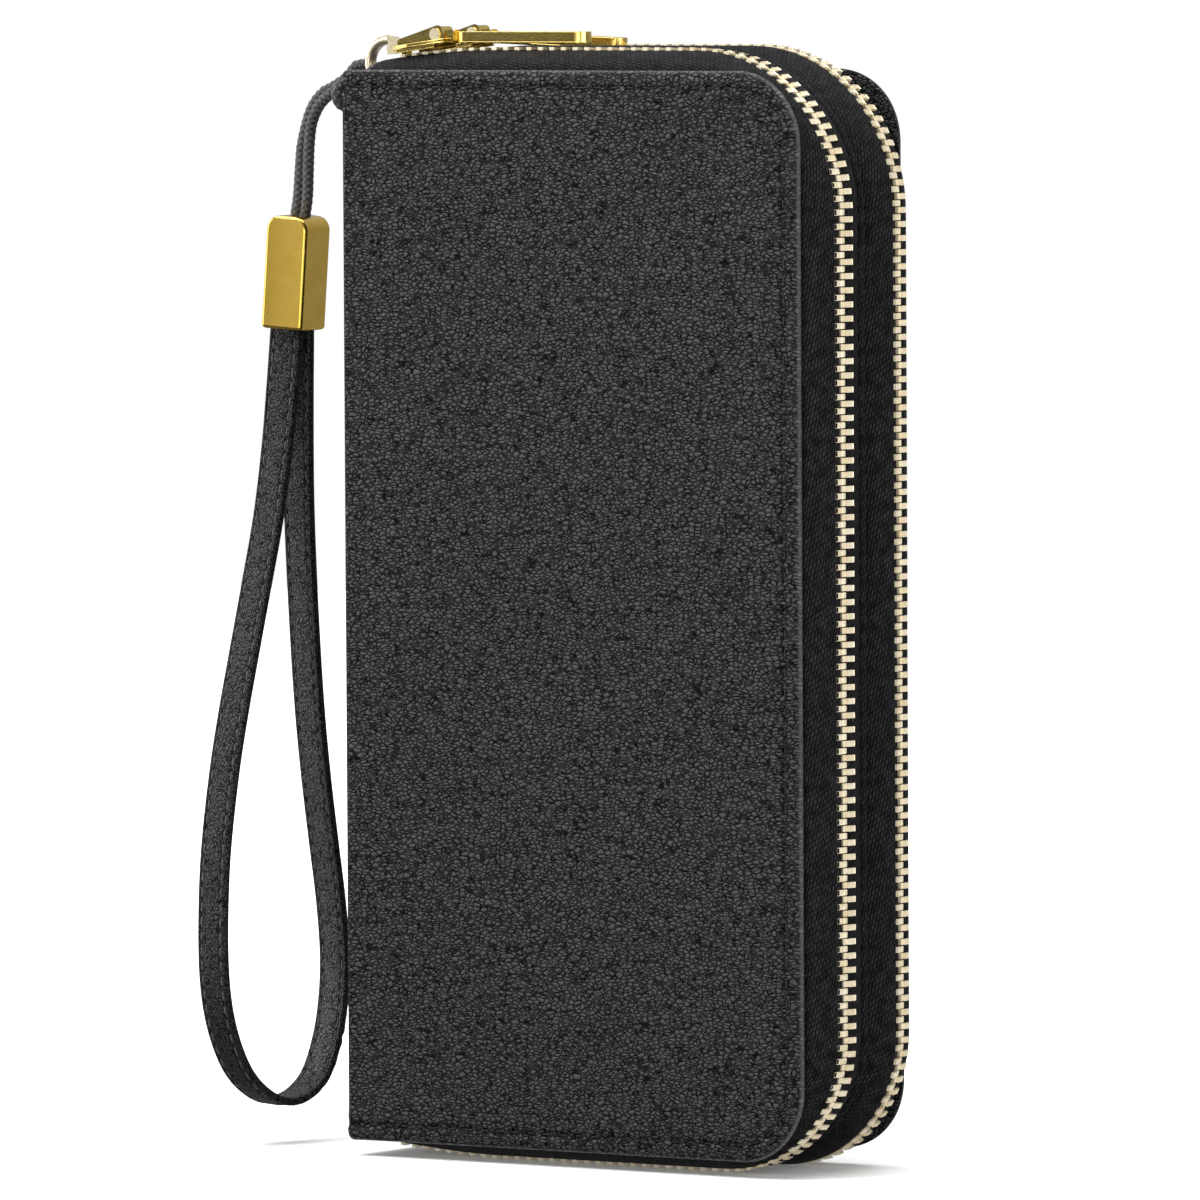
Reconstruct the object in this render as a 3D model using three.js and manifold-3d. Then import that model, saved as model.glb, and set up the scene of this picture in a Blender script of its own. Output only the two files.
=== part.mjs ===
// A double zip-around wristlet wallet that stands on the short end of its zips.
// Millimetres, +Z up. X runs from the spine (-X) to the zipped side (+X), Y runs through
// the thickness and the front cover faces -Y. The origin is under the middle of the wallet
// and its ring, on the surface it stands on. Lengths below are measured from the middle of
// the wallet alone.

import * as THREE from 'three';
import { mergeVertices } from 'three/addons/utils/BufferGeometryUtils.js';
import Module from 'manifold-3d';

const wasm = await Module();
wasm.setup();

// ---- driving dimensions ----
const WIDTH = 104; // spine to zip crest
const DEPTH = 36; // front cover to back cover
const CREST_TOP = 203.4; // top of the zip teeth; their bottom is at 0
const CREST_RADIUS = 30; // corners of the zip run
const PANEL_SIDE_GAP = 5; // cover edge to zip crest, at the side
const PANEL_BOTTOM = 2.9; // cover edge above the bottom of the zips
const PANEL_HEIGHT = 196;
const PANEL_RADIUS = 15; // free corners of the covers
const LEATHER = 1.6;
const BOARD = 1.0;
const LINING = 0.8;
const GAP = 0.3; // clearance between touching pieces
const ARC_STEPS = 8; // facets in a quarter turn

const SPINE_X = -WIDTH / 2;
const CREST_X = WIDTH / 2;
const PANEL_RIGHT = CREST_X - PANEL_SIDE_GAP;
const PANEL_TOP = PANEL_BOTTOM + PANEL_HEIGHT;
const FOLD_X = SPINE_X + LEATHER + 0.15; // where a cover hinges on the spine
const COVER_Y = DEPTH / 2; // outer face of a cover
const COVER_IN = COVER_Y - LEATHER; // inner face of the leather
const BOARD_Y = COVER_IN - GAP;
const LINING_Y = BOARD_Y - BOARD - 0.1;

// ---- zips ----
const ZIP_Y = 9; // middle of each chain, to either side of the divider
const ZIP_START = -46; // the chains end here, near the spine
const CHAIN_HALF = 2.9; // half the width of a closed chain
const RAIL_INNER = 1.2; // each row starts this far from the middle of its chain
const RAIL_DEPTH = 2.3;
const TAPE = 0.7;
const TAPE_LEVEL = 1.15; // tape below the crest, beside the teeth
const TAPE_END = 10; // sewn edge of the tape below the crest
const SLIDER_LENGTH = 12.4;
const SLIDER_X = [-39.6, -43.8]; // rest position of each slider
const SLIDER_HALF = 4.1;
const PIN_X = 3.7; // pull pin ahead of the slider's middle
const PIN_UP = 1.9; // pull pin above the crest
const PULL_LENGTH = 28.5;
const PULL_WIDTH = 4;
const PULL_THICK = 1.8;
const PULL_START = 4.4; // bar starts this far from its pin
const PARKED_END = SLIDER_LENGTH / 2 + 0.7; // parked teeth reach this far past the slider's middle

// ---- strap ----
const RING = new THREE.Vector3(-53.8, 0, 200);
const RING_OUT = 4.85;
const RING_RADIAL = 1.6;
const RING_AXIAL = 2.4;
const RING_MEAN = RING_OUT - RING_RADIAL / 2;
const TAB_ANGLE = -29; // where the tab holds the ring, in degrees round it
const HITCH_ANGLE = 215; // where the cord holds the ring
const CORD = 2.1;
const BEAD = new THREE.Vector3(-75, 0, 161.2);
const BEAD_SIZE = new THREE.Vector3(8.6, 9.2, 21);
const BEAD_TOP_RADIUS = 3;
const STRAP_WIDTH = 6.8;
const STRAP_THICK = 1.4;
const STRAP_YAW = 12; // the hanging loop is turned this far about the vertical

// ---- finishes ----
const finish = (color, roughness, metalness = 0) =>
  new THREE.MeshStandardMaterial({ color, roughness, metalness });
const leather = finish(0x232325, 0.55);
const lining = finish(0x1d1c1e, 0.9);
const boardGrey = finish(0x6d675e, 0.9);
const tapeCloth = finish(0x161618, 0.95);
const paleGold = finish(0xe6d9b8, 0.25, 1);
const gold = finish(0xb8923f, 0.22, 1);
const cordBlack = finish(0x1c1c1d, 0.6);

const wallet = new THREE.Group();

const add = (name, geometry, material) => {
  const mesh = new THREE.Mesh(geometry, material);
  mesh.name = name;
  wallet.add(mesh);
  return mesh;
};

// ---- solids joined and cut ----
const toSolid = (geometry) => {
  const bare = geometry.clone();
  for (const key of Object.keys(bare.attributes)) {
    if (key !== 'position') bare.deleteAttribute(key);
  }
  const merged = mergeVertices(bare, 1e-4);
  return new wasm.Manifold(new wasm.Mesh({
    numProp: 3,
    vertProperties: new Float32Array(merged.attributes.position.array),
    triVerts: new Uint32Array(merged.index.array),
  }));
};

const fromSolid = (solid) => {
  const mesh = solid.getMesh();
  const geometry = new THREE.BufferGeometry();
  geometry.setAttribute('position', new THREE.BufferAttribute(mesh.vertProperties, 3));
  geometry.setIndex(new THREE.BufferAttribute(mesh.triVerts, 1));
  geometry.computeVertexNormals();
  return geometry;
};

const join = (...pieces) => fromSolid(pieces.map(toSolid).reduce((a, b) => a.add(b)));
const cut = (base, ...tools) => fromSolid(tools.map(toSolid).reduce((a, b) => a.subtract(b), toSolid(base)));
const common = (a, b) => fromSolid(toSolid(a).intersect(toSolid(b)));

const block = (x0, x1, y0, y1, z0, z1) =>
  new THREE.BoxGeometry(x1 - x0, y1 - y0, z1 - z0)
    .translate((x0 + x1) / 2, (y0 + y1) / 2, (z0 + z1) / 2);

// ---- flat pieces that lie in the XZ plane ----
// A plate between y0 and y1 from a shape drawn in x and z.
const plate = (shape, y0, y1, bevel = 0) =>
  new THREE.ExtrudeGeometry(shape, {
    depth: y1 - y0 - 2 * bevel,
    bevelEnabled: bevel > 0,
    bevelThickness: bevel,
    bevelSize: bevel,
    bevelOffset: -bevel,
    bevelSegments: 1,
    curveSegments: ARC_STEPS,
  }).rotateX(Math.PI / 2).translate(0, y1 - bevel, 0);

// A leaf outline: square at the spine, round at the two free corners.
const leafShape = (left, right, bottom, top, radius) => {
  const shape = new THREE.Shape();
  shape.moveTo(left, bottom);
  shape.lineTo(right - radius, bottom);
  shape.absarc(right - radius, bottom + radius, radius, -Math.PI / 2, 0);
  shape.lineTo(right, top - radius);
  shape.absarc(right - radius, top - radius, radius, 0, Math.PI / 2);
  shape.lineTo(left, top);
  shape.closePath();
  return shape;
};

// The same, measured inwards from the zip crest.
const insetShape = (left, inward) =>
  leafShape(left, CREST_X - inward, inward, CREST_TOP - inward, CREST_RADIUS - inward);

// side is -1 for the front leaf and +1 for the back one.
const layer = (shape, side, outer, thickness, bevel = 0) => {
  const near = side * outer;
  const far = side * (outer - thickness);
  return plate(shape, Math.min(near, far), Math.max(near, far), bevel);
};

// ---- pieces that run along the zips ----
// A curve given by its stations, so that straights take one step and corners take several.
class Stations extends THREE.Curve {
  constructor(points, tangents) {
    super();
    this.points = points;
    this.tangents = tangents;
  }

  at(list, t, target) {
    const place = t * (list.length - 1);
    const index = Math.min(Math.floor(place), list.length - 2);
    return target.lerpVectors(list[index], list[index + 1], place - index);
  }

  getPoint(t, target = new THREE.Vector3()) {
    return this.at(this.points, t, target);
  }

  getPointAt(u, target = new THREE.Vector3()) {
    return this.getPoint(u, target);
  }

  getTangent(t, target = new THREE.Vector3()) {
    return this.at(this.tangents, t, target).normalize();
  }

  getTangentAt(u, target = new THREE.Vector3()) {
    return this.getTangent(u, target);
  }
}

// The crest of the zips: along the top, down the side and back along the bottom.
const crestRun = (start, end) => {
  const points = [new THREE.Vector3(start, 0, CREST_TOP)];
  const tangents = [new THREE.Vector3(1, 0, 0)];
  const corner = (centreZ, from) => {
    for (let i = 0; i <= ARC_STEPS; i += 1) {
      const a = from - (Math.PI / 2) * (i / ARC_STEPS);
      const x = CREST_X - CREST_RADIUS + CREST_RADIUS * Math.cos(a);
      points.push(new THREE.Vector3(x, 0, centreZ + CREST_RADIUS * Math.sin(a)));
      tangents.push(new THREE.Vector3(Math.sin(a), 0, -Math.cos(a)));
    }
  };
  corner(CREST_TOP - CREST_RADIUS, Math.PI / 2);
  corner(CREST_RADIUS, 0);
  points.push(new THREE.Vector3(end, 0, 0));
  tangents.push(new THREE.Vector3(-1, 0, 0));
  return new Stations(points, tangents);
};

// Sweeps a profile of (depth below the crest, y) along the crest.
const sweep = (profile, start = ZIP_START, end = ZIP_START) => {
  const run = crestRun(start, end);
  return new THREE.ExtrudeGeometry(profile, { steps: run.points.length - 1, extrudePath: run });
};

// A closed band of even thickness round an open line of points.
const bandShape = (line, thickness) => {
  const half = thickness / 2;
  const left = [];
  const right = [];
  line.forEach((point, i) => {
    const before = line[Math.max(i - 1, 0)];
    const after = line[Math.min(i + 1, line.length - 1)];
    const along = after.clone().sub(before).normalize();
    const across = new THREE.Vector2(-along.y, along.x).multiplyScalar(half);
    left.push(point.clone().add(across));
    right.unshift(point.clone().sub(across));
  });
  return new THREE.Shape([...left, ...right]);
};

const v2 = (x, y) => new THREE.Vector2(x, y);

// Half a zip tape: beside the teeth, over the shoulder and down its sewn leg.
const outerTape = (side) => bandShape([
  v2(TAPE_LEVEL, side * (ZIP_Y + CHAIN_HALF + GAP)),
  v2(TAPE_LEVEL, side * (ZIP_Y + SLIDER_HALF + 0.5)),
  v2(1.75, side * 14.6),
  v2(3.1, side * 15.4),
  v2(4.8, side * (BOARD_Y - TAPE / 2)),
  v2(TAPE_END, side * (BOARD_Y - TAPE / 2)),
], TAPE);

const innerTape = (side) => bandShape([
  v2(TAPE_LEVEL, side * (ZIP_Y - CHAIN_HALF - GAP)),
  v2(TAPE_LEVEL, side * (ZIP_Y - SLIDER_HALF - 0.3)),
  v2(1.75, side * 3.4),
  v2(2.9, side * 2.4),
  v2(4.4, side * 1.75),
  v2(TAPE_END - 0.5, side * 1.65),
], TAPE);

// One row of teeth, as the plain rail that the teeth fill.
const railShape = (side, outerRow) => {
  const sign = outerRow ? 1 : -1;
  const a = side * (ZIP_Y + sign * RAIL_INNER);
  const b = side * (ZIP_Y + sign * CHAIN_HALF);
  return new THREE.Shape([v2(0, a), v2(0, b), v2(RAIL_DEPTH, b), v2(RAIL_DEPTH, a)]);
};

// ---- covers ----
const coverShape = leafShape(FOLD_X + 0.15, PANEL_RIGHT, PANEL_BOTTOM, PANEL_TOP, PANEL_RADIUS);
const boardShape = insetShape(FOLD_X + 0.9, TAPE_END + 0.5);
const liningShape = insetShape(FOLD_X + 0.9, 6);

const buildLeafLayers = (word, side) => {
  add(`cover_${word}`, layer(coverShape, side, COVER_Y, LEATHER, 0.5), leather);
  add(`board_${word}`, layer(boardShape, side, BOARD_Y, BOARD), boardGrey);
  add(`lining_${word}`, layer(liningShape, side, LINING_Y, LINING), lining);
};

// The spine leather and its lining, notched where the ring tab comes out.
const TAB_NOTCH = 9; // depth of the notch
const TAB_NOTCH_HALF = 2.8;
const SPINE_MARGIN = 0.4;

const buildSpine = () => {
  const low = PANEL_BOTTOM + SPINE_MARGIN;
  const high = PANEL_TOP - SPINE_MARGIN;
  const inner = SPINE_X + LEATHER;
  const notch = block(SPINE_X - 5, inner + 5, -TAB_NOTCH_HALF, TAB_NOTCH_HALF, high - TAB_NOTCH, high + 5);
  const skin = block(SPINE_X, inner, -COVER_Y, COVER_Y, low, high);
  add('cover_spine', cut(skin, notch), leather);
  const backing = block(inner + GAP, inner + GAP + LINING, -LINING_Y + LINING, LINING_Y - LINING, low + 5, high - 5);
  add('lining_spine', cut(backing, notch), lining);
};

// ---- divider between the two compartments ----
const DIVIDER_CORE = 1.2;
const DIVIDER_LEFT = FOLD_X + 2;
const DIVIDER_TOP_LEFT = -45.6; // the divider starts here beside the ring tab
const EDGE_DEPTH = 2.1; // divider's edge below the crest
const EDGE_HALF = 1;
const LEG_INNER = 2.05; // outer face of the tapes' legs, from the middle

const dividerShape = (inward) => {
  const low = inward;
  const high = CREST_TOP - inward;
  const right = CREST_X - inward;
  const radius = CREST_RADIUS - inward;
  const shape = new THREE.Shape();
  shape.moveTo(DIVIDER_LEFT, low);
  shape.lineTo(right - radius, low);
  shape.absarc(right - radius, low + radius, radius, -Math.PI / 2, 0);
  shape.lineTo(right, high - radius);
  shape.absarc(right - radius, high - radius, radius, 0, Math.PI / 2);
  shape.lineTo(DIVIDER_TOP_LEFT, high);
  shape.lineTo(DIVIDER_TOP_LEFT, high - 4);
  shape.lineTo(DIVIDER_LEFT, high - 8);
  shape.closePath();
  return shape;
};

const buildDivider = () => {
  add('divider_core', plate(dividerShape(TAPE_END), -DIVIDER_CORE / 2, DIVIDER_CORE / 2), boardGrey);
  const round = 0.7;
  const edge = new THREE.Shape([
    v2(EDGE_DEPTH + round, -EDGE_HALF),
    v2(EDGE_DEPTH, -EDGE_HALF + round),
    v2(EDGE_DEPTH, EDGE_HALF - round),
    v2(EDGE_DEPTH + round, EDGE_HALF),
    v2(TAPE_END - GAP, EDGE_HALF),
    v2(TAPE_END - GAP, -EDGE_HALF),
  ]);
  add('divider_edge', sweep(edge), leather);
  for (const [word, side] of [['front', -1], ['rear', 1]]) {
    const shape = dividerShape(TAPE_END);
    add(`divider_lining_${word}`, layer(shape, side, DIVIDER_CORE / 2 + GAP + LINING, LINING), lining);
  }
};

// ---- card slots and slip pockets ----
const SLOTS = 4;
const SLOT_SHEET = 0.5;
const SLOT_STEP = 11; // each slot's mouth stands this far behind the next
const SLOT_FIRST_EDGE = 2; // mouth of the slot nearest the spine
const POCKET_LEFT = FOLD_X + 4;
const POCKET_LOW = 15.5;
const POCKET_HIGH = 187;

const rectangle = (x0, x1, z0, z1) => new THREE.Shape([v2(x0, z0), v2(x1, z0), v2(x1, z1), v2(x0, z1)]);

// Four lapped sheets, the shortest one outermost. back is the face that they lie on, and
// step is the way out from it.
const buildCardSlots = (word, back, step) => {
  for (let i = 0; i < SLOTS; i += 1) {
    const near = back + step * (GAP + i * (SLOT_SHEET + GAP));
    const far = near + step * SLOT_SHEET;
    const mouth = SLOT_FIRST_EDGE + (SLOTS - 1 - i) * SLOT_STEP;
    const shape = rectangle(POCKET_LEFT, mouth, POCKET_LOW, POCKET_HIGH);
    add(`${word}_card_slot_${i + 1}`, plate(shape, Math.min(near, far), Math.max(near, far)), leather);
  }
};

const buildPockets = () => {
  const leafFace = LINING_Y - LINING;
  const dividerFace = DIVIDER_CORE / 2 + GAP + LINING;
  buildCardSlots('front', -leafFace, 1);
  buildCardSlots('divider', -dividerFace, -1);
  const slip = rectangle(POCKET_LEFT, 26, POCKET_LOW, POCKET_HIGH);
  const note = rectangle(POCKET_LEFT, 33, POCKET_LOW, POCKET_HIGH);
  add('back_slip_pocket', plate(slip, leafFace - GAP - 0.6, leafFace - GAP), leather);
  add('divider_slip_pocket', plate(note, dividerFace + GAP, dividerFace + GAP + 0.6), leather);
};

// ---- zips ----
const straightRail = (side, from, to) => {
  const near = side * (ZIP_Y + RAIL_INNER);
  const far = side * (ZIP_Y + CHAIN_HALF);
  return block(from, to, Math.min(near, far), Math.max(near, far), CREST_TOP - RAIL_DEPTH, CREST_TOP);
};

const buildZipRun = (name, side, sliderX) => {
  const parkedFrom = Math.max(ZIP_START, sliderX - 2.8);
  const parkedTo = sliderX + PARKED_END;
  add(`${name}_tape_outer`, sweep(outerTape(side)), tapeCloth);
  add(`${name}_tape_inner`, sweep(innerTape(side)), tapeCloth);
  add(`${name}_teeth_outer`, sweep(railShape(side, true), parkedTo + GAP), paleGold);
  add(`${name}_teeth_inner`, sweep(railShape(side, false), parkedFrom), paleGold);
  add(`${name}_teeth_parked`, straightRail(side, parkedFrom, parkedTo), paleGold);
};

// The slider's body about its own middle, with z up from the crest.
const sliderBody = () => {
  const h = SLIDER_LENGTH / 2;
  const outline = new THREE.Shape();
  outline.moveTo(h, -3.6);
  outline.lineTo(h, 3.6);
  outline.lineTo(-1.5, SLIDER_HALF);
  outline.lineTo(-4.2, SLIDER_HALF);
  outline.lineTo(-h, 2.2);
  outline.lineTo(-h, -2.2);
  outline.lineTo(-4.2, -SLIDER_HALF);
  outline.lineTo(-1.5, -SLIDER_HALF);
  outline.closePath();
  const sheet = (z0, z1) =>
    new THREE.ExtrudeGeometry(outline, { depth: z1 - z0, bevelEnabled: false }).translate(0, 0, z0);
  const top = sheet(0.3, 1.1);
  const under = sheet(-RAIL_DEPTH - 1.1, -RAIL_DEPTH - 0.3);
  const neck = block(-5.2, -3.2, -0.8, 0.8, -RAIL_DEPTH - 0.5, 0.5);
  const lips = [];
  for (const side of [-1, 1]) {
    const y0 = Math.min(side * 3.3, side * 4.0);
    const y1 = Math.max(side * 3.3, side * 4.0);
    lips.push(block(-3.9, -0.2, y0, y1, -0.5, 0.5));
    lips.push(block(-3.9, -0.2, y0, y1, -RAIL_DEPTH - 0.5, -TAPE_LEVEL - TAPE / 2 - 0.4));
  }
  return join(top, under, neck, ...lips);
};

const pinBore = () => new THREE.CylinderGeometry(0.95, 0.95, 8, 12).translate(PIN_X, 0, PIN_UP);

// The bridge over the slider: two cheeks that rise towards the pin.
const sliderBridge = () => {
  const side = new THREE.Shape([
    v2(-5.6, 0.7), v2(-5.2, 1.5), v2(-4.3, 1.7), v2(4.3, 3.5), v2(4.9, 3.3), v2(5.7, 0.7),
  ]);
  const whole = plate(side, -2, 2);
  const slot = block(-2.2, 7, -1, 1, 1.4, 6);
  return cut(whole, slot, pinBore());
};

const buildSlider = (name, side, sliderX) => {
  const place = (geometry) => geometry.translate(sliderX, side * ZIP_Y, CREST_TOP);
  const linkSlot = block(PIN_X - 2, SLIDER_LENGTH, -1, 1, 0.1, 6);
  add(`${name}_slider`, place(cut(join(sliderBody(), sliderBridge()), linkSlot)), gold);
  const pin = new THREE.CylinderGeometry(0.65, 0.65, 3.9, 12).translate(PIN_X, 0, PIN_UP);
  add(`${name}_pull_pin`, place(pin), gold);
  const eye = new THREE.CylinderGeometry(1.5, 1.5, 1.4, 14).translate(PIN_X, 0, PIN_UP);
  const shank = block(PIN_X + 0.4, PIN_X + PULL_START - 0.3, -0.7, 0.7, PIN_UP - 0.75, PIN_UP + 0.75);
  add(`${name}_pull_link`, place(cut(join(eye, shank), pinBore())), gold);
  add(`${name}_pull_bar`, place(pullBar()), gold);
};

// A slim bar with round ends, with a lip round its top.
const pullBar = () => {
  const r = PULL_WIDTH / 2;
  const x0 = PIN_X + PULL_START;
  const outline = new THREE.Shape();
  outline.absarc(x0 + r, 0, r, Math.PI / 2, (3 * Math.PI) / 2);
  outline.absarc(x0 + PULL_LENGTH - r, 0, r, -Math.PI / 2, Math.PI / 2);
  const bevel = 0.25;
  return new THREE.ExtrudeGeometry(outline, {
    depth: PULL_THICK - 2 * bevel,
    bevelEnabled: true,
    bevelThickness: bevel,
    bevelSize: bevel,
    bevelOffset: -bevel,
    bevelSegments: 1,
    curveSegments: ARC_STEPS,
  }).translate(0, 0, PIN_UP - PULL_THICK / 2 + bevel);
};

// ---- ring and tab ----
const ringPoint = (degrees, radius) => {
  const a = THREE.MathUtils.degToRad(degrees);
  return new THREE.Vector3(Math.cos(a), 0, Math.sin(a)).multiplyScalar(radius).add(RING);
};

const buildRing = () => {
  const r0 = RING_OUT - RING_RADIAL;
  const h = RING_AXIAL / 2;
  const c = 0.35;
  const profile = [
    v2(r0, -h + c), v2(r0 + c, -h), v2(RING_OUT - c, -h), v2(RING_OUT, -h + c),
    v2(RING_OUT, h - c), v2(RING_OUT - c, h), v2(r0 + c, h), v2(r0, h - c), v2(r0, -h + c),
  ];
  const ring = new THREE.LatheGeometry(profile, 24);
  add('strap_ring', ring.translate(RING.x, RING.y, RING.z), gold);
};

// The tab is a strip folded round the ring's wire, with its tail inside the spine.
const TAB_WIDTH = 3;
const TAB_THICK = 0.9;
const TAB_TAIL = 1.8;

const buildRingTab = () => {
  const half = RING_AXIAL / 2 + 0.4;
  const out = half + TAB_THICK;
  const reach = 1.7; // room round the wire, along the ring's radius
  const outline = new THREE.Shape([
    v2(-reach - TAB_THICK, -out + 1), v2(-reach - TAB_THICK + 1, -out), v2(reach + TAB_TAIL, -out),
    v2(reach + TAB_TAIL, out), v2(-reach - TAB_THICK + 1, out), v2(-reach - TAB_THICK, out - 1),
  ]);
  outline.holes.push(new THREE.Path([
    v2(-reach, -half), v2(-reach, half), v2(reach, half), v2(reach, -half),
  ]));
  const tab = new THREE.ExtrudeGeometry(outline, { depth: TAB_WIDTH, bevelEnabled: false })
    .translate(0, 0, -TAB_WIDTH / 2);
  // Local x goes out along the ring's radius, local y across it and local z along its wire.
  const angle = THREE.MathUtils.degToRad(TAB_ANGLE);
  const outward = new THREE.Vector3(Math.cos(angle), 0, Math.sin(angle));
  const across = new THREE.Vector3(0, 1, 0);
  const wire = new THREE.Vector3().crossVectors(outward, across);
  const turn = new THREE.Matrix4().makeBasis(outward, across, wire);
  turn.setPosition(ringPoint(TAB_ANGLE, RING_MEAN));
  add('ring_tab', tab.applyMatrix4(turn), leather);
};

// ---- cord, bead and wrist loop ----
const cordSection = () => {
  const section = new THREE.Shape();
  section.absarc(0, 0, CORD / 2, 0, 2 * Math.PI);
  return section;
};

const cordTube = (points, steps) =>
  new THREE.ExtrudeGeometry(cordSection(), {
    steps,
    curveSegments: 4,
    extrudePath: new THREE.CatmullRomCurve3(points, false, 'centripetal'),
  });

// The hitch is given by (outward from the ring's wire, along the wire, y).
const HITCH = [
  [4.6, -1.15, -2.5], [2.4, -1.15, -2.6], [0.2, -1.15, -2.65], [-1.6, -1.15, -2.1],
  [-2.4, -1.2, 0], [-1.6, -1.35, 2.1], [0.2, -1.8, 2.6], [1.8, -2.7, 2.0],
  [2.5, -3.4, 0], [2.5, -3.4, -2.6], [2.5, -2.6, -4.5], [2.5, 0, -5.1],
];

const buildHitch = () => {
  const centre = ringPoint(HITCH_ANGLE, RING_MEAN);
  const a = THREE.MathUtils.degToRad(HITCH_ANGLE);
  const outward = new THREE.Vector3(Math.cos(a), 0, Math.sin(a));
  const along = new THREE.Vector3(-Math.sin(a), 0, Math.cos(a));
  const mirrored = HITCH.slice(0, -1).reverse().map(([r, s, y]) => [r, -s, y]);
  const points = [...HITCH, ...mirrored].map(([r, s, y]) =>
    centre.clone().addScaledVector(outward, r).addScaledVector(along, s).setY(y));
  add('cord_hitch', cordTube(points, 60), cordBlack);
};

// The two strands between the hitch and the bead, hand laid.
const CORD_OUTER = [
  [-61.8, -2.5, 195.6], [-63.7, -2.15, 195.3], [-65.7, -1.7, 194.95], [-67.8, -1.3, 194.2],
  [-69.8, -0.9, 193.05], [-71.5, -0.6, 191.5], [-72.7, -0.4, 189.5], [-73.5, -0.2, 186.9],
  [-74, -0.1, 184], [-74.3, 0, 180.9], [-74.6, 0, 177.9], [-74.9, 0, 174.9], [-75.1, 0, 171.9],
];
const CORD_INNER = [
  [-60.5, -2.45, 193.9], [-62.4, -2.1, 193.3], [-64.5, -1.7, 192.7], [-66.4, -1.3, 191.9],
  [-68.1, -0.9, 190.95], [-69.4, -0.6, 189.75], [-70.4, -0.4, 188.2], [-71.1, -0.2, 186.1],
  [-71.55, -0.1, 183.6], [-71.9, 0, 180.8], [-72.2, 0, 177.9], [-72.5, 0, 174.9], [-72.7, 0, 171.9],
];

const buildCords = () => {
  const strand = (points) => cordTube(points.map(([x, y, z]) => new THREE.Vector3(x, y, z)), 16);
  add('strap_cord_outer', strand(CORD_OUTER), cordBlack);
  add('strap_cord_inner', strand(CORD_INNER), cordBlack);
};

// A box whose four sides each end in a flat arch.
const buildBead = () => {
  const arch = (width) => {
    const h = BEAD_SIZE.z / 2;
    const w = width / 2;
    const r = BEAD_TOP_RADIUS;
    const shape = new THREE.Shape();
    shape.moveTo(-w + 0.6, -h);
    shape.lineTo(w - 0.6, -h);
    shape.lineTo(w, -h + 0.6);
    shape.lineTo(w, h - r);
    shape.absarc(w - r, h - r, r, 0, Math.PI / 2);
    shape.absarc(-w + r, h - r, r, Math.PI / 2, Math.PI);
    shape.lineTo(-w, -h + 0.6);
    shape.closePath();
    return shape;
  };
  const acrossY = plate(arch(BEAD_SIZE.x), -BEAD_SIZE.y / 2, BEAD_SIZE.y / 2);
  const acrossX = plate(arch(BEAD_SIZE.y), -BEAD_SIZE.x / 2, BEAD_SIZE.x / 2).rotateZ(Math.PI / 2);
  add('strap_bead', common(acrossY, acrossX).translate(BEAD.x, BEAD.y, BEAD.z), gold);
};

// The hanging loop's middle line, in its own plane: (sideways, up).
const LOOP = [
  [-1.1, 150.1], [-2.4, 138.3], [-6, 119.3], [-12.2, 94.3], [-18.2, 69.3], [-20.2, 55.3], [-21, 42.3],
  [-20.7, 31.3], [-19, 22.8], [-15.8, 15.7], [-11.2, 10.9], [-5.4, 8.9], [0.4, 9.5], [5, 12.9],
  [7.7, 18.8], [9.2, 26.3], [9.4, 34.3], [8.5, 44.3], [6.9, 55.3], [4.9, 69.3], [2.5, 94.3], [1.3, 119.3], [1.1, 150.1],
];

const buildWristStrap = () => {
  const line = new THREE.SplineCurve(LOOP.map(([s, z]) => v2(s, z))).getPoints(44);
  const band = new THREE.ExtrudeGeometry(bandShape(line, STRAP_THICK), {
    depth: STRAP_WIDTH,
    bevelEnabled: false,
  });
  band.translate(0, 0, -STRAP_WIDTH / 2).rotateX(Math.PI / 2).rotateZ(Math.PI / 2);
  band.rotateZ(THREE.MathUtils.degToRad(-STRAP_YAW)).translate(BEAD.x, BEAD.y, 0);
  add('wrist_strap', band, leather);
};

// ---- assembly ----
buildLeafLayers('front', -1);
buildLeafLayers('back', 1);
buildSpine();
buildDivider();
buildPockets();
buildZipRun('zip1', -1, SLIDER_X[0]);
buildZipRun('zip2', 1, SLIDER_X[1]);
buildSlider('zip1', -1, SLIDER_X[0]);
buildSlider('zip2', 1, SLIDER_X[1]);
buildRing();
buildRingTab();
buildHitch();
buildCords();
buildBead();
buildWristStrap();

// The ring stands out past the spine, so the origin goes under the middle of the two.
const ringLeft = RING.x - RING_OUT;
wallet.position.x = -(ringLeft + CREST_X) / 2;

export default wallet;
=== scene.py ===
import math  # noqa: E402

import bmesh  # noqa: E402
import bpy  # noqa: E402
import numpy as np  # noqa: E402
from mathutils import Matrix, Vector  # noqa: E402

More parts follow.
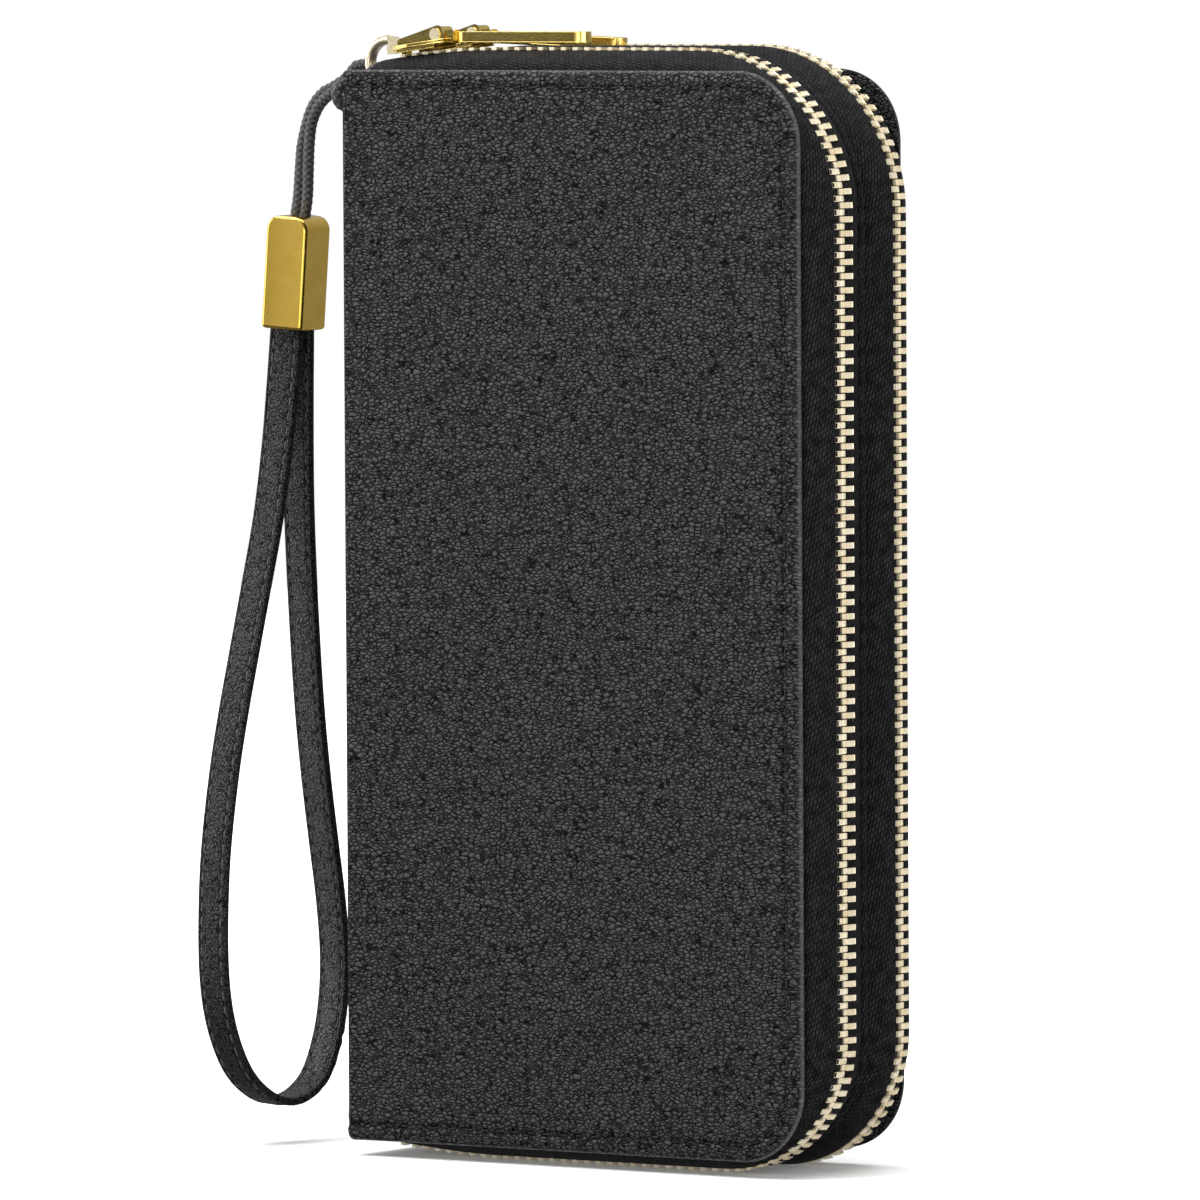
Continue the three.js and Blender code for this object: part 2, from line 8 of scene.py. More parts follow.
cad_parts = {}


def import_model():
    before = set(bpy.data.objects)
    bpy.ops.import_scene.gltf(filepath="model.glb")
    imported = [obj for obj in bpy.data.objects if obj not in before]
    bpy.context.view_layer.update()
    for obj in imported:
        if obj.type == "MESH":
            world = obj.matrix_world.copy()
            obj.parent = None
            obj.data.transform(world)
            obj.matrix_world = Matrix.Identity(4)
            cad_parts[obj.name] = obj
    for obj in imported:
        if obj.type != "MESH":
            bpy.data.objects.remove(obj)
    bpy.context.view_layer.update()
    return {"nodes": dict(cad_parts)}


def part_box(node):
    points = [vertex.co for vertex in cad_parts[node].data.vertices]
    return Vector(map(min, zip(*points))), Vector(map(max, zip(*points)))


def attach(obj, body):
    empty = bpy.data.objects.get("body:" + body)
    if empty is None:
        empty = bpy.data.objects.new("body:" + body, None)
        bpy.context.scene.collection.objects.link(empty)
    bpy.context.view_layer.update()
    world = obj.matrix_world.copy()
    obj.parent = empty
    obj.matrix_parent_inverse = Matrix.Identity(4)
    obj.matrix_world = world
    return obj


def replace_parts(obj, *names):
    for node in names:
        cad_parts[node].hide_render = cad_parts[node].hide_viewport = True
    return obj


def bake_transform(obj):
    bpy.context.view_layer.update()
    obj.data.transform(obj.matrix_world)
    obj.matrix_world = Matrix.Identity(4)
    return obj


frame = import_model()

# Lengths below are millimetres from the middle of the wallet alone; SHIFT moves them into the
# frame, whose origin is under the middle of the wallet and its ring.
MM = 0.001
SPINE_X = -52.0
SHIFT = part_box("cover_spine")[0].x / MM - SPINE_X

CREST_X = 52.0
CREST_TOP = 203.4
TOP_RADIUS = 30.0
BOTTOM_RADIUS = 25.0
PANEL_RIGHT = 47.1
PANEL_LOW = 2.9
PANEL_HIGH = 198.9
PANEL_RADIUS = 13.2
ZIP_Y = 9.0
COVER_Y = 18.0
PITCH = 2.54
SLIDER_X = (-39.6, -43.8)


def world(points):
    """Millimetre points, or one point, in the frame's metres."""
    return (np.asarray(points, float) + np.array([SHIFT, 0.0, 0.0])) * MM


# ---------------------------------------------------------------- shader helpers
class Shader:
    """A material's node tree with short ways to add and join nodes."""

    def __init__(self, name):
        self.material = bpy.data.materials.new(name)
        self.material.use_nodes = True
        self.tree = self.material.node_tree
        self.tree.nodes.clear()
        self.bsdf = self.node("ShaderNodeBsdfPrincipled")
        out = self.node("ShaderNodeOutputMaterial")
        self.tree.links.new(self.bsdf.outputs[0], out.inputs["Surface"])

    def node(self, kind, **inputs):
        made = self.tree.nodes.new(kind)
        for key, value in inputs.items():
            self.put(made, key.replace("_", " "), value)
        return made

    def put(self, node, key, value):
        socket = node.inputs[key]
        if isinstance(value, bpy.types.NodeSocket):
            self.tree.links.new(value, socket)
        else:
            socket.default_value = value

    def uv(self):
        made = self.node("ShaderNodeUVMap")
        made.uv_map = "UVMap"
        return made.outputs["UV"]

    def place(self):
        """Position in the frame, in millimetres, for pieces without a useful UV map."""
        coords = self.node("ShaderNodeTexCoord").outputs["Object"]
        return self.vmath("SCALE", coords, scale=1 / MM)

    def vmath(self, op, a, b=None, scale=None):
        made = self.node("ShaderNodeVectorMath")
        made.operation = op
        self.put(made, 0, a)
        if b is not None:
            self.put(made, 1, b)
        if scale is not None:
            made.inputs["Scale"].default_value = scale
        return made.outputs["Value" if op == "LENGTH" else "Vector"]

    def math(self, op, a, b=0.0):
        made = self.node("ShaderNodeMath")
        made.operation = op
        self.put(made, 0, a)
        self.put(made, 1, b)
        return made.outputs[0]

    def times(self, a, b):
        return self.math("MULTIPLY", a, b)

    def plus(self, a, b):
        return self.math("ADD", a, b)

    def weaken(self, mask, amount):
        """A mask of 0 to 1 whose low parts only go down to 1 - amount."""
        return self.math("SUBTRACT", 1.0, self.times(self.math("SUBTRACT", 1.0, mask), amount))

    def arch(self, value):
        """A bump from 0 up to 1 and back over each whole step of value."""
        return self.math("SINE", self.times(self.math("FRACT", value), math.pi))

    def attribute(self, name):
        made = self.node("ShaderNodeAttribute")
        made.attribute_name = name
        return made.outputs["Fac"]

    def noise(self, vector, scale, detail=3.0, rough=0.55):
        made = self.node("ShaderNodeTexNoise", Vector=vector, Scale=scale, Detail=detail, Roughness=rough)
        return made.outputs["Fac"]

    def drift(self, vector, scale, amount):
        """A smooth sideways push of up to amount, for warping a pattern."""
        made = self.node("ShaderNodeTexNoise", Vector=vector, Scale=scale, Detail=2.0)
        return self.vmath("SCALE", made.outputs["Color"], scale=amount)

    def cracks(self, vector, scale):
        """Distance to the nearest edge between random cells."""
        made = self.node("ShaderNodeTexVoronoi", Vector=vector, Scale=scale)
        made.feature = "DISTANCE_TO_EDGE"
        return made.outputs["Distance"]

    def remap(self, value, low, high, to_low, to_high, smooth=False):
        made = self.node("ShaderNodeMapRange")
        made.interpolation_type = "SMOOTHSTEP" if smooth else "LINEAR"
        for i, v in enumerate((value, low, high, to_low, to_high)):
            self.put(made, i, v)
        return made.outputs[0]

    def mix(self, fac, a, b):
        made = self.node("ShaderNodeMix")
        made.data_type = "RGBA"
        self.put(made, 0, fac)
        for socket, value in zip((made.inputs[6], made.inputs[7]), (a, b)):
            if isinstance(value, bpy.types.NodeSocket):
                self.tree.links.new(value, socket)
            else:
                socket.default_value = value
        return made.outputs[2]

    def bump(self, height, strength, distance):
        """A bump map whose height is distance millimetres."""
        made = self.node("ShaderNodeBump", Height=height, Strength=strength, Distance=distance * MM)
        return made.outputs[0]

    def done(self, colour, roughness, normal, metallic=0.0, **more):
        self.put(self.bsdf, "Base Color", colour)
        self.put(self.bsdf, "Roughness", roughness)
        self.put(self.bsdf, "Normal", normal)
        self.bsdf.inputs["Metallic"].default_value = metallic
        for key, value in more.items():
            self.put(self.bsdf, key.replace("_", " "), value)
        return self.material


def linear(value):
    """One sRGB channel out of 255 as a linear value."""
    v = value / 255
    return v / 12.92 if value <= 10 else ((v + 0.055) / 1.055) ** 2.4


def rgb(r, g, b):
    """An sRGB colour out of 255 as the linear value that sockets take."""
    return (linear(r), linear(g), linear(b), 1.0)


def leather(name, dark, light, cell=(1.15, 0.62), depth=0.26, from_uv=True, rough=(0.38, 0.52), spec=0.16):
    """Pebbled leather: flat cells, wider than high, with creases of uneven depth painted dark as painted
    shade.
    """
    s = Shader(name)
    base = s.uv() if from_uv else s.place()
    warped = s.vmath("ADD", s.vmath("ADD", base, s.drift(base, 0.35, 1.6)), s.drift(base, 1.4, 0.22))
    scale = (1 / cell[0], 1 / cell[1], 1 / cell[0 if from_uv else 1])
    cells = s.vmath("MULTIPLY", warped, scale)
    edge = s.cracks(cells, 1.0)
    crease = s.remap(edge, 0.02, 0.26, 0.05, 1.0, True)
    fine_crease = s.remap(s.cracks(cells, 1.9), 0.0, 0.16, 0.0, 1.0, True)
    skin = s.noise(base, 6.0, 3.0, 0.6)
    open_here = s.remap(s.noise(base, 0.5, 2.0), 0.36, 0.6, 0.8, 1.0)
    fine_here = s.remap(s.noise(base, 1.1, 2.0), 0.5, 0.7, 0.0, 0.2)
    shut = s.weaken(crease, open_here)
    grain = s.times(shut, s.weaken(fine_crease, fine_here))
    dome = s.plus(s.remap(edge, 0.0, 0.5, 0.0, 0.5), s.times(skin, 0.15))
    # Painted shade: the creases are painted dark and the cells lighter, mixed between dark and light.
    colour = s.mix(s.times(grain, s.remap(skin, 0.3, 0.7, 0.85, 1.12)), dark, light)
    # Painted shade: darker where the mesh's point values say, in the stitched groove and on the strap's
    # seams, sides and inner face.
    colour = s.mix(s.attribute("painted_shade"), colour, rgb(1, 1, 1))
    # Painted highlight: a light line along the rolled edge, mixed towards pale grey.
    wear_and_painted_highlight = s.times(s.attribute("wear_and_painted_highlight"), s.remap(skin, 0.3, 0.7, 0.6, 1.0))
    colour = s.mix(wear_and_painted_highlight, colour, rgb(120, 116, 116))
    roughness = s.remap(s.plus(skin, s.times(shut, -0.35)), 0.0, 0.8, *rough)
    normal = s.bump(s.plus(grain, dome), 0.85, depth)
    return s.done(colour, roughness, normal, Specular_IOR_Level=s.times(shut, spec * 2))


def woven(name, dark, light, rib=0.62, grain=1.2, lean=0.22, from_uv=True):
    """Woven cloth: slanting ribs of short raised threads, staggered like bricks, painted light on the
    threads as painted highlight and dark between them as painted shade.
    """
    s = Shader(name)
    base = s.uv() if from_uv else s.place()
    split = s.node("ShaderNodeSeparateXYZ", Vector=base)
    u, v = (split.outputs[0], split.outputs[1]) if from_uv else (split.outputs[2], split.outputs[0])
    wobble = s.times(s.noise(base, 0.9, 2.0), 0.9)
    ribs = s.plus(s.math("DIVIDE", v, rib), s.plus(s.times(u, lean / rib), wobble))
    stagger = s.plus(s.math("DIVIDE", u, grain), s.times(s.math("FLOOR", ribs), 0.37))
    thread = s.times(s.arch(ribs), s.plus(s.times(s.arch(stagger), 0.7), 0.3))
    fuzz = s.noise(s.vmath("MULTIPLY", base, (0.8, 2.4, 2.4)), 3.0, 3.0, 0.65)
    height = s.plus(thread, s.times(fuzz, 0.5))
    wear_and_painted_highlight = s.remap(s.noise(base, 0.5, 3.0), 0.35, 0.65, 0.35, 1.0)
    tone = s.times(s.times(thread, wear_and_painted_highlight), s.remap(fuzz, 0.3, 0.7, 0.4, 1.3))
    # Painted highlight and shade: raised threads light, the gaps between them dark.
    colour = s.mix(s.remap(tone, 0.1, 0.9, 0.0, 1.0), dark, light)
    roughness = s.remap(fuzz, 0.3, 0.7, 0.62, 0.85)
    return s.done(colour, roughness, s.bump(height, 0.8, 0.18), Specular_IOR_Level=0.15)


def metal(name, colour, deep, rough=0.16, scratch=0.05, metallic=1.0):
    """Polished plating with faint brushing, tiny pits and uneven tarnish."""
    s = Shader(name)
    base = s.place()
    stretched = s.vmath("MULTIPLY", base, (0.6, 7.0, 7.0))
    brushed = s.noise(stretched, 1.4, 3.0, 0.6)
    cloud = s.noise(base, 0.22, 3.0, 0.5)
    pits = s.remap(s.noise(base, 3.2, 2.0, 0.5), 0.62, 0.75, 0.0, 1.0)
    tint = s.mix(s.remap(cloud, 0.3, 0.7, 0.0, 0.8), colour, deep)
    polish = s.remap(brushed, 0.3, 0.7, rough - 0.05, rough + 0.07)
    roughness = s.plus(polish, s.times(pits, 0.08))
    height = s.plus(brushed, s.times(pits, -0.3))
    return s.done(tint, roughness, s.bump(height, scratch, 0.03), metallic)


def thread_material(name, dark, light):
    """Twisted thread with painted highlight on its ply crests and painted shade between them, and more
    painted shade where the mesh's point values ask for it.
    """
    s = Shader(name)
    base = s.uv()
    split = s.node("ShaderNodeSeparateXYZ", Vector=base)
    lay = s.plus(s.times(split.outputs[0], 3.0), s.times(split.outputs[1], 2.0))
    ply = s.math("SINE", s.times(lay, 2 * math.pi))
    fuzz = s.noise(base, 12.0, 2.0)
    height = s.plus(ply, s.times(fuzz, 0.6))
    # Painted highlight and shade: the ply crests are painted light and the hollows dark.
    colour = s.mix(s.remap(height, -0.8, 1.2, 0.0, 1.0), dark, light)
    colour = s.mix(s.attribute("painted_shade"), colour, rgb(2, 2, 2))
    return s.done(colour, s.remap(fuzz, 0.3, 0.7, 0.34, 0.5), s.bump(height, 0.7, 0.06))


def board_material(name):
    """Grey board with long fibres."""
    s = Shader(name)
    base = s.place()
    fibres = s.noise(s.vmath("MULTIPLY", base, (3.0, 3.0, 0.8)), 1.5, 4.0, 0.7)
    colour = s.mix(fibres, rgb(92, 86, 76), rgb(138, 130, 116))
    return s.done(colour, s.remap(fibres, 0.2, 0.8, 0.8, 0.95), s.bump(fibres, 0.4, 0.1))


LEATHER = leather("pebbled_leather", rgb(2, 2, 3), rgb(54, 54, 56))
INNER_LEATHER = leather("pocket_leather", rgb(6, 6, 7), rgb(66, 66, 68), (0.9, 0.7), 0.1, False)
STRAP_TONES = (rgb(16, 16, 17), rgb(66, 66, 69))
STRAP_LEATHER = leather("strap_leather", *STRAP_TONES, (0.7, 0.5), 0.08, rough=(0.38, 0.5), spec=0.25)
TAPE = woven("zip_tape_weave", rgb(0, 0, 0), rgb(45, 44, 48))
LINING = woven("lining_weave", rgb(8, 8, 9), rgb(44, 43, 46), 0.35, 0.4, 0.0, False)
CORD_LOOK = thread_material("waxed_braid", rgb(8, 8, 9), rgb(104, 104, 108))
THREAD = thread_material("sewing_thread", rgb(2, 2, 2), rgb(30, 30, 32))
PALE_THREAD = thread_material("strap_thread", rgb(30, 30, 32), rgb(92, 92, 94))
TEETH = metal("pale_gold_teeth", rgb(238, 228, 204), rgb(222, 204, 164), 0.3, 0.15, 0.45)
GOLD = metal("polished_gold", rgb(240, 216, 132), rgb(228, 196, 100), 0.13)
# A near-white copy of the gold: painted highlight for the ring, the slider nose and the rivet.
PAINTED_HIGHLIGHT_GOLD = metal("painted_highlight_gold", rgb(255, 246, 220), rgb(250, 232, 186), 0.3)
DEEP_GOLD = metal("bead_gold", rgb(234, 198, 96), rgb(226, 186, 76), 0.16)
BOARD = board_material("grey_board")


# ---------------------------------------------------------------- mesh helpers
def linked(name, data):
    """A new object that shows data in the scene."""
    made = bpy.data.objects.new(name, data)
    bpy.context.scene.collection.objects.link(made)
    return made


def run_of(line):
    """Distance along a line at each of its points."""
    return np.concatenate([[0], np.cumsum(np.linalg.norm(np.diff(line, axis=0), axis=1))])


def mesh_object(name, points, faces, material, uv=None, smooth=True):
    """A mesh from millimetre points. uv is one pair, in millimetres, per point."""
    mesh = bpy.data.meshes.new(name)
    mesh.from_pydata([tuple(p) for p in world(points)], [], [tuple(f) for f in faces])
    mesh.materials.append(material)
    if uv is not None:
        layer = mesh.uv_layers.new(name="UVMap")
        order = np.empty(len(mesh.loops), np.int32)
        mesh.loops.foreach_get("vertex_index", order)
        layer.data.foreach_set("uv", np.asarray(uv, np.float32)[order].ravel())
    bm = bmesh.new()
    bm.from_mesh(mesh)
    bmesh.ops.recalc_face_normals(bm, faces=bm.faces)
    bm.to_mesh(mesh)
    bm.free()
    mesh.polygons.foreach_set("use_smooth", [smooth] * len(mesh.polygons))
    mesh.update()
    return linked(name, mesh)


def point_values(made, layer, values):
    """Stores one value per point for the materials to read."""
    data = made.data.attributes.new(layer, "FLOAT", "POINT").data
    data.foreach_set("value", np.asarray(values, np.float32))


def grid_faces(rows, columns, start=0, close=False):
    """Quads over rows x columns points, wrapping across the columns when closed."""
    made = []
    for i in range(rows - 1):
        a, b = start + i * columns, start + (i + 1) * columns
        for j in range(columns if close else columns - 1):
            k = (j + 1) % columns
            made.append((a + j, a + k, b + k, b + j))
    return made


def end_caps(rows, columns):
    """The first and last rows as faces that close a tube."""
    return [tuple(range(columns))[::-1], tuple(range((rows - 1) * columns, rows * columns))]


def join_pieces(pieces):
    """One (points, faces, uv) from several."""
    points, faces, uvs, count = [], [], [], 0
    for p, f, u in pieces:
        points.append(p)
        uvs.append(u)
        faces.extend(tuple(i + count for i in face) for face in f)
        count += len(p)
    return np.concatenate(points), faces, np.concatenate(uvs)


def bevelled(name, build, material, width, segments=3, angle=30):
    """A solid whose bmesh is made by build(bm) in millimetres, with its sharp edges rounded."""
    bm = bmesh.new()
    build(bm)
    bm.normal_update()
    limit = math.radians(angle)
    sharp = [e for e in bm.edges if len(e.link_faces) == 2 and e.calc_face_angle() > limit]
    how = {"segments": segments, "profile": 0.5, "affect": "EDGES", "clamp_overlap": True}
    bmesh.ops.bevel(bm, geom=sharp, offset=width, **how)
    bmesh.ops.recalc_face_normals(bm, faces=bm.faces)
    mesh = bpy.data.meshes.new(name)
    bm.to_mesh(mesh)
    bm.free()
    mesh.transform(Matrix.Diagonal((MM, MM, MM, 1)) @ Matrix.Translation((SHIFT, 0, 0)))
    mesh.materials.append(material)
    mesh.polygons.foreach_set("use_smooth", [True] * len(mesh.polygons))
    made = linked(name, mesh)
    made.modifiers.new("flat_faces", "WEIGHTED_NORMAL")
    return made


def prism(bm, outline, axis, low, high):
    """Adds an extruded polygon. outline holds pairs in the two axes other than axis."""
    def lift(pair, h):
        a, b = pair
        return {"x": (h, a, b), "y": (a, h, b), "z": (a, b, h)}[axis]
    bottom = [bm.verts.new(lift(p, low)) for p in outline]
    top = [bm.verts.new(lift(p, high)) for p in outline]
    bm.faces.new(bottom)
    bm.faces.new(top)
    for i in range(len(outline)):
        j = (i + 1) % len(outline)
        bm.faces.new((bottom[i], bottom[j], top[j], top[i]))


def disc(centre, radius, count):
    """Points evenly round a circle."""
    turns = np.linspace(0, 2 * math.pi, count, endpoint=False)
    return [(centre[0] + radius * math.cos(a), centre[1] + radius * math.sin(a)) for a in turns]


def smooth_line(points, count):
    """An even Catmull-Rom line through the points."""
    p = np.asarray(points, float)
    padded = np.vstack([2 * p[0] - p[1], p, 2 * p[-1] - p[-2]])
    fine = []
    for i in range(1, len(padded) - 2):
        t = np.linspace(0, 1, 24, endpoint=False)[:, None]
        a, b, c, d = padded[i - 1:i + 3]
        bend = (2 * a - 5 * b + 4 * c - d) * t**2
        twist = (3 * b - a - 3 * c + d) * t**3
        fine.append(0.5 * (2 * b + (c - a) * t + bend + twist))
    fine = np.vstack([*fine, p[-1:]])
    run = run_of(fine)
    even = np.linspace(0, run[-1], count)
    return np.stack([np.interp(even, run, fine[:, k]) for k in range(p.shape[1])], 1), run[-1]


def unit(v):
    return v / np.linalg.norm(v, axis=-1, keepdims=True)


# ---------------------------------------------------------------- the zips' run
END_DROP = [
    (-52.0, 5.4), (-51.0, 3.9), (-49.4, 2.8), (-47.8, 2.0), (-44.9, 1.6),
    (-41.8, 1.2), (-38.5, 0.9), (-31.8, 0.3), (-25.0, 0.0), (60.0, 0.0),
]
CREST_FROM = -51.8
CREST_STEP = 0.25
EASE = 9


def corner(x, z, radius, angles):
    return np.stack([x + radius * np.cos(angles), z + radius * np.sin(angles)], 1)


def crest_run():
    """Points of the crest in (x, z), from the spine at the top to the spine at the bottom."""
    xs, drops = zip(*END_DROP)
    top_x, low_x = CREST_X - TOP_RADIUS, CREST_X - BOTTOM_RADIUS
    x = np.linspace(CREST_FROM, top_x, 300)
    top = np.stack([x, CREST_TOP - np.interp(x, xs, drops)], 1)
    arc = corner(top_x, CREST_TOP - TOP_RADIUS, TOP_RADIUS, np.linspace(math.pi / 2, 0, 60)[1:])
    low = corner(low_x, BOTTOM_RADIUS, BOTTOM_RADIUS, np.linspace(0, -math.pi / 2, 60))
    x = np.linspace(low_x, CREST_FROM, 300)[1:]
    under = np.stack([x, np.interp(x, xs, drops) * 0.9], 1)
    return np.vstack([top, arc, low, under])


def eased(line):
    """The line at even steps, with its bends softened by a moving average."""
    run = run_of(line)
    steps = np.arange(0, run[-1], CREST_STEP)
    kernel = np.hanning(2 * EASE + 1) / np.hanning(2 * EASE + 1).sum()
    made = []
    for k in (0, 1):
        longer = np.pad(np.interp(steps, run, line[:, k]), EASE, mode="reflect", reflect_type="odd")
        made.append(np.convolve(longer, kernel, "valid"))
    return np.stack(made, 1)


CREST = eased(crest_run())
CREST_AT = run_of(CREST)
CREST_LENGTH = CREST_AT[-1]
CREST_ALONG = unit(np.gradient(CREST, axis=0))


def crest_frame(s):
    """Position, direction and inward normal, in (x, z), at distances s along the crest."""
    p = np.stack([np.interp(s, CREST_AT, CREST[:, k]) for k in (0, 1)], -1)
    t = unit(np.stack([np.interp(s, CREST_AT, CREST_ALONG[:, k]) for k in (0, 1)], -1))
    return p, t, np.stack([t[..., 1], -t[..., 0]], -1)


def crest_s(x):
    """Distance along the top of the crest at which it reaches x."""
    half = len(CREST) // 3
    return float(np.interp(x, CREST[:half, 0], CREST_AT[:half]))


def swept(profile, s):
    """Points and UVs of a profile of (inward, y) swept to the distances s."""
    profile = np.asarray(profile, float)
    p, _, n = crest_frame(np.asarray(s))
    xz = p[:, None, :] + n[:, None, :] * profile[None, :, :1]
    y = np.broadcast_to(profile[None, :, 1], xz.shape[:2])
    points = np.stack([xz[..., 0], y, xz[..., 1]], -1)
    across = run_of(profile)
    u = np.broadcast_to(np.asarray(s)[:, None], xz.shape[:2])
    v = np.broadcast_to(across[None, :], xz.shape[:2])
    return points.reshape(-1, 3), np.stack([u, v], -1).reshape(-1, 2)


def band(line, thickness, count):
    """A closed profile of even thickness round an open line of (inward, y)."""
    mid, _ = smooth_line(line, count)
    along = unit(np.gradient(mid, axis=0))
    side = np.stack([-along[:, 1], along[:, 0]], 1) * thickness / 2
    return np.vstack([mid + side, (mid - side)[::-1]])


TAPE_OUTER = [
    (10, 15.6), (6, 15.6), (4.7, 15.55), (3.6, 15.2), (2.8, 14.5),
    (2.15, 13.5), (1.65, 12.5), (1.3, 11.6), (1.2, 10.9), (1.35, 9.9),
]
TAPE_INNER = {
    -1: [
        (9.5, 1.65), (6, 1.62), (4.2, 1.6), (3.1, 1.65), (2.5, 1.95), (2.15, 2.7),
        (1.75, 3.8), (1.25, 5.0), (0.9, 6.2), (1.0, 7.2), (1.25, 8.1),
    ],
    1: [
        (9.5, 1.65), (6, 1.6), (4.6, 1.65), (3.4, 2.0), (2.5, 2.8), (1.7, 3.8),
        (1.05, 4.9), (0.65, 6.0), (0.6, 7.0), (0.95, 8.1),
    ],
}


def build_tape(name, line, side, *bodies):
    """A tape that rides on one body, or, given two, is baked in place and attached to neither."""
    profile = band([(a, side * y) for a, y in line], 0.62, 26)
    s = np.arange(0.3, CREST_LENGTH - 0.3, 1.2)
    points, uv = swept(profile, s)
    made = mesh_object(name, points, grid_faces(len(s), len(profile), close=True), TAPE, uv)
    if len(bodies) == 2:
        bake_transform(made)
    else:
        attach(made, *bodies)
    return made


# ---------------------------------------------------------------- teeth
def tooth_template():
    """One tooth: y runs from the tape to the meshing head, z goes inwards and x along the zip."""
    bm = bmesh.new()
    body = [(-0.52, 2.45), (0.52, 2.45), (0.52, 0.5), (-0.52, 0.5)]
    prism(bm, body, "z", 0.0, 2.2)
    half = [(0.5, 0.5), (0.5, 0.1), (0.56, -0.1), (0.54, -0.4), (0.4, -0.55)]
    head = half + [(-x, y) for x, y in half[::-1]]
    prism(bm, head, "z", 0.3, 1.9)
    bm.faces.ensure_lookup_table()
    sharp = [e for e in bm.edges if e.calc_face_angle() > 0.9]
    bmesh.ops.bevel(bm, geom=sharp, offset=0.12, segments=2, profile=0.5, affect="EDGES")
    bmesh.ops.recalc_face_normals(bm, faces=bm.faces)
    facing = [f for f in bm.faces if f.normal.z < -0.95 and f.calc_area() > 1.0]
    top = [f for f in facing if f.calc_center_median().z < 0.2]
    bmesh.ops.inset_region(bm, faces=top, thickness=0.2, depth=-0.1)
    bmesh.ops.triangulate(bm, faces=[f for f in bm.faces if len(f.verts) > 4])
    points = np.array([v.co[:] for v in bm.verts])
    faces = [tuple(v.index for v in f.verts) for f in bm.faces]
    bm.free()
    return points, faces


TOOTH = tooth_template()
CHAIN_TILT = math.radians(8.5)
TOP_TILT = math.radians(-4.0)
CHAIN_SINK = {-1: 0.55, 1: 0.2}
CHAIN_OUT = {-1: 0.0, 1: 0.35}


def row_of_teeth(side, outer_row, s_from, s_to):
    """Teeth of one row between two distances along the crest, on a chain that leans to its cover."""
    points, faces = TOOTH
    sign = 1 if outer_row else -1
    phase = 0.0 if outer_row else PITCH / 2
    first = math.ceil((s_from - phase) / PITCH)
    last = math.floor((s_to - phase) / PITCH)
    s = phase + np.arange(first, last + 1) * PITCH
    p, t, n = crest_frame(s)
    x, across, depth = points[:, 0], sign * points[:, 1], points[:, 2]
    tilt = (TOP_TILT + (CHAIN_TILT - TOP_TILT) * np.abs(t[:, 1]))[:, None]
    inward = CHAIN_SINK[side] + depth * np.cos(tilt) + across * np.sin(tilt)
    y = side * (ZIP_Y + CHAIN_OUT[side] + across * np.cos(tilt) - depth * np.sin(tilt))
    xz = p[:, None] + t[:, None] * x[None, :, None] + n[:, None] * inward[:, :, None]
    jitter = np.random.default_rng(7).normal(0, 0.02, len(s))
    made = np.stack([xz[..., 0], y + jitter[:, None], xz[..., 1]], -1).reshape(-1, 3)
    every = [tuple(i * len(points) + k for k in f) for i in range(len(s)) for f in faces]
    return made, every


def build_teeth(name, side, outer_row, s_from, s_to, body):
    points, faces = row_of_teeth(side, outer_row, s_from, s_to)
    made = mesh_object(name, points, faces, TEETH, smooth=False)
    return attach(made, body)


# ---------------------------------------------------------------- covers
FOLD_RADIUS = 1.6
SPINE_HALF = COVER_Y - FOLD_RADIUS
ARC = FOLD_RADIUS * math.pi / 2
SKIN_LENGTH = SPINE_HALF + ARC + PANEL_RIGHT - (SPINE_X + FOLD_RADIUS)
STITCH_IN = 3.1
STITCH = 3.5


def skin_base(u):
    """Cross-section of the wrap in (x, y) for the front half, with its outward normal."""
    u = np.asarray(u, float)
    phi = math.pi + np.clip((u - SPINE_HALF) / FOLD_RADIUS, 0, math.pi / 2)
    x = np.where(u < SPINE_HALF, SPINE_X, SPINE_X + FOLD_RADIUS + FOLD_RADIUS * np.cos(phi))
    y = np.where(u < SPINE_HALF, -u, -SPINE_HALF + FOLD_RADIUS * np.sin(phi))
    flat = np.maximum(u - SPINE_HALF - ARC, 0)
    return np.stack([x + flat, y], -1), np.stack([np.cos(phi), np.sin(phi)], -1)


def crown(u, z):
    """How far the padded cover swells out, and where its surface relaxes near the edges."""
    flat = np.maximum(u - SPINE_HALF - ARC * 0.5, 0)
    width = SKIN_LENGTH - SPINE_HALF - ARC * 0.5
    across = 1 - np.exp(-flat / 9.0)
    pinch = 0.32 * np.exp(-(((u - SPINE_HALF - ARC * 0.5) / 1.6) ** 2))
    far = 1 - np.exp(-(width - flat) / 6.0)
    up = 1 - np.exp(-np.minimum(z - PANEL_LOW, PANEL_HIGH - z) / 7.0)
    return 0.95 * across * far * up - 0.5 * across + pinch


def relief(d, run):
    """Outward offset of the surface at distance d from the edge and run along it."""
    r = 1.15
    inside = np.clip(d, 0, r)
    roll = -(r - np.sqrt(np.maximum(r * r - (r - inside) ** 2, 0)))
    beat = -np.cos(2 * math.pi * run / STITCH)
    groove = np.exp(-((d - STITCH_IN) / 0.55) ** 2)
    shoulder = np.exp(-((d - 1.9) / 0.7) ** 2)
    inner = np.exp(-((d - 4.6) / 0.9) ** 2)
    swell = shoulder * (0.16 - 0.07 * beat) + inner * (0.07 - 0.05 * beat)
    return roll - groove * (0.3 + 0.26 * beat) + swell


def skin_point(u, z, out, side):
    """Frame points of the wrap. side is -1 for the front half and +1 for the back half."""
    base, normal = skin_base(u)
    total = np.asarray(out) + crown(u, z)
    xy = base + normal * total[..., None]
    return np.stack([xy[..., 0], xy[..., 1] * -side, np.broadcast_to(z, u.shape)], -1)


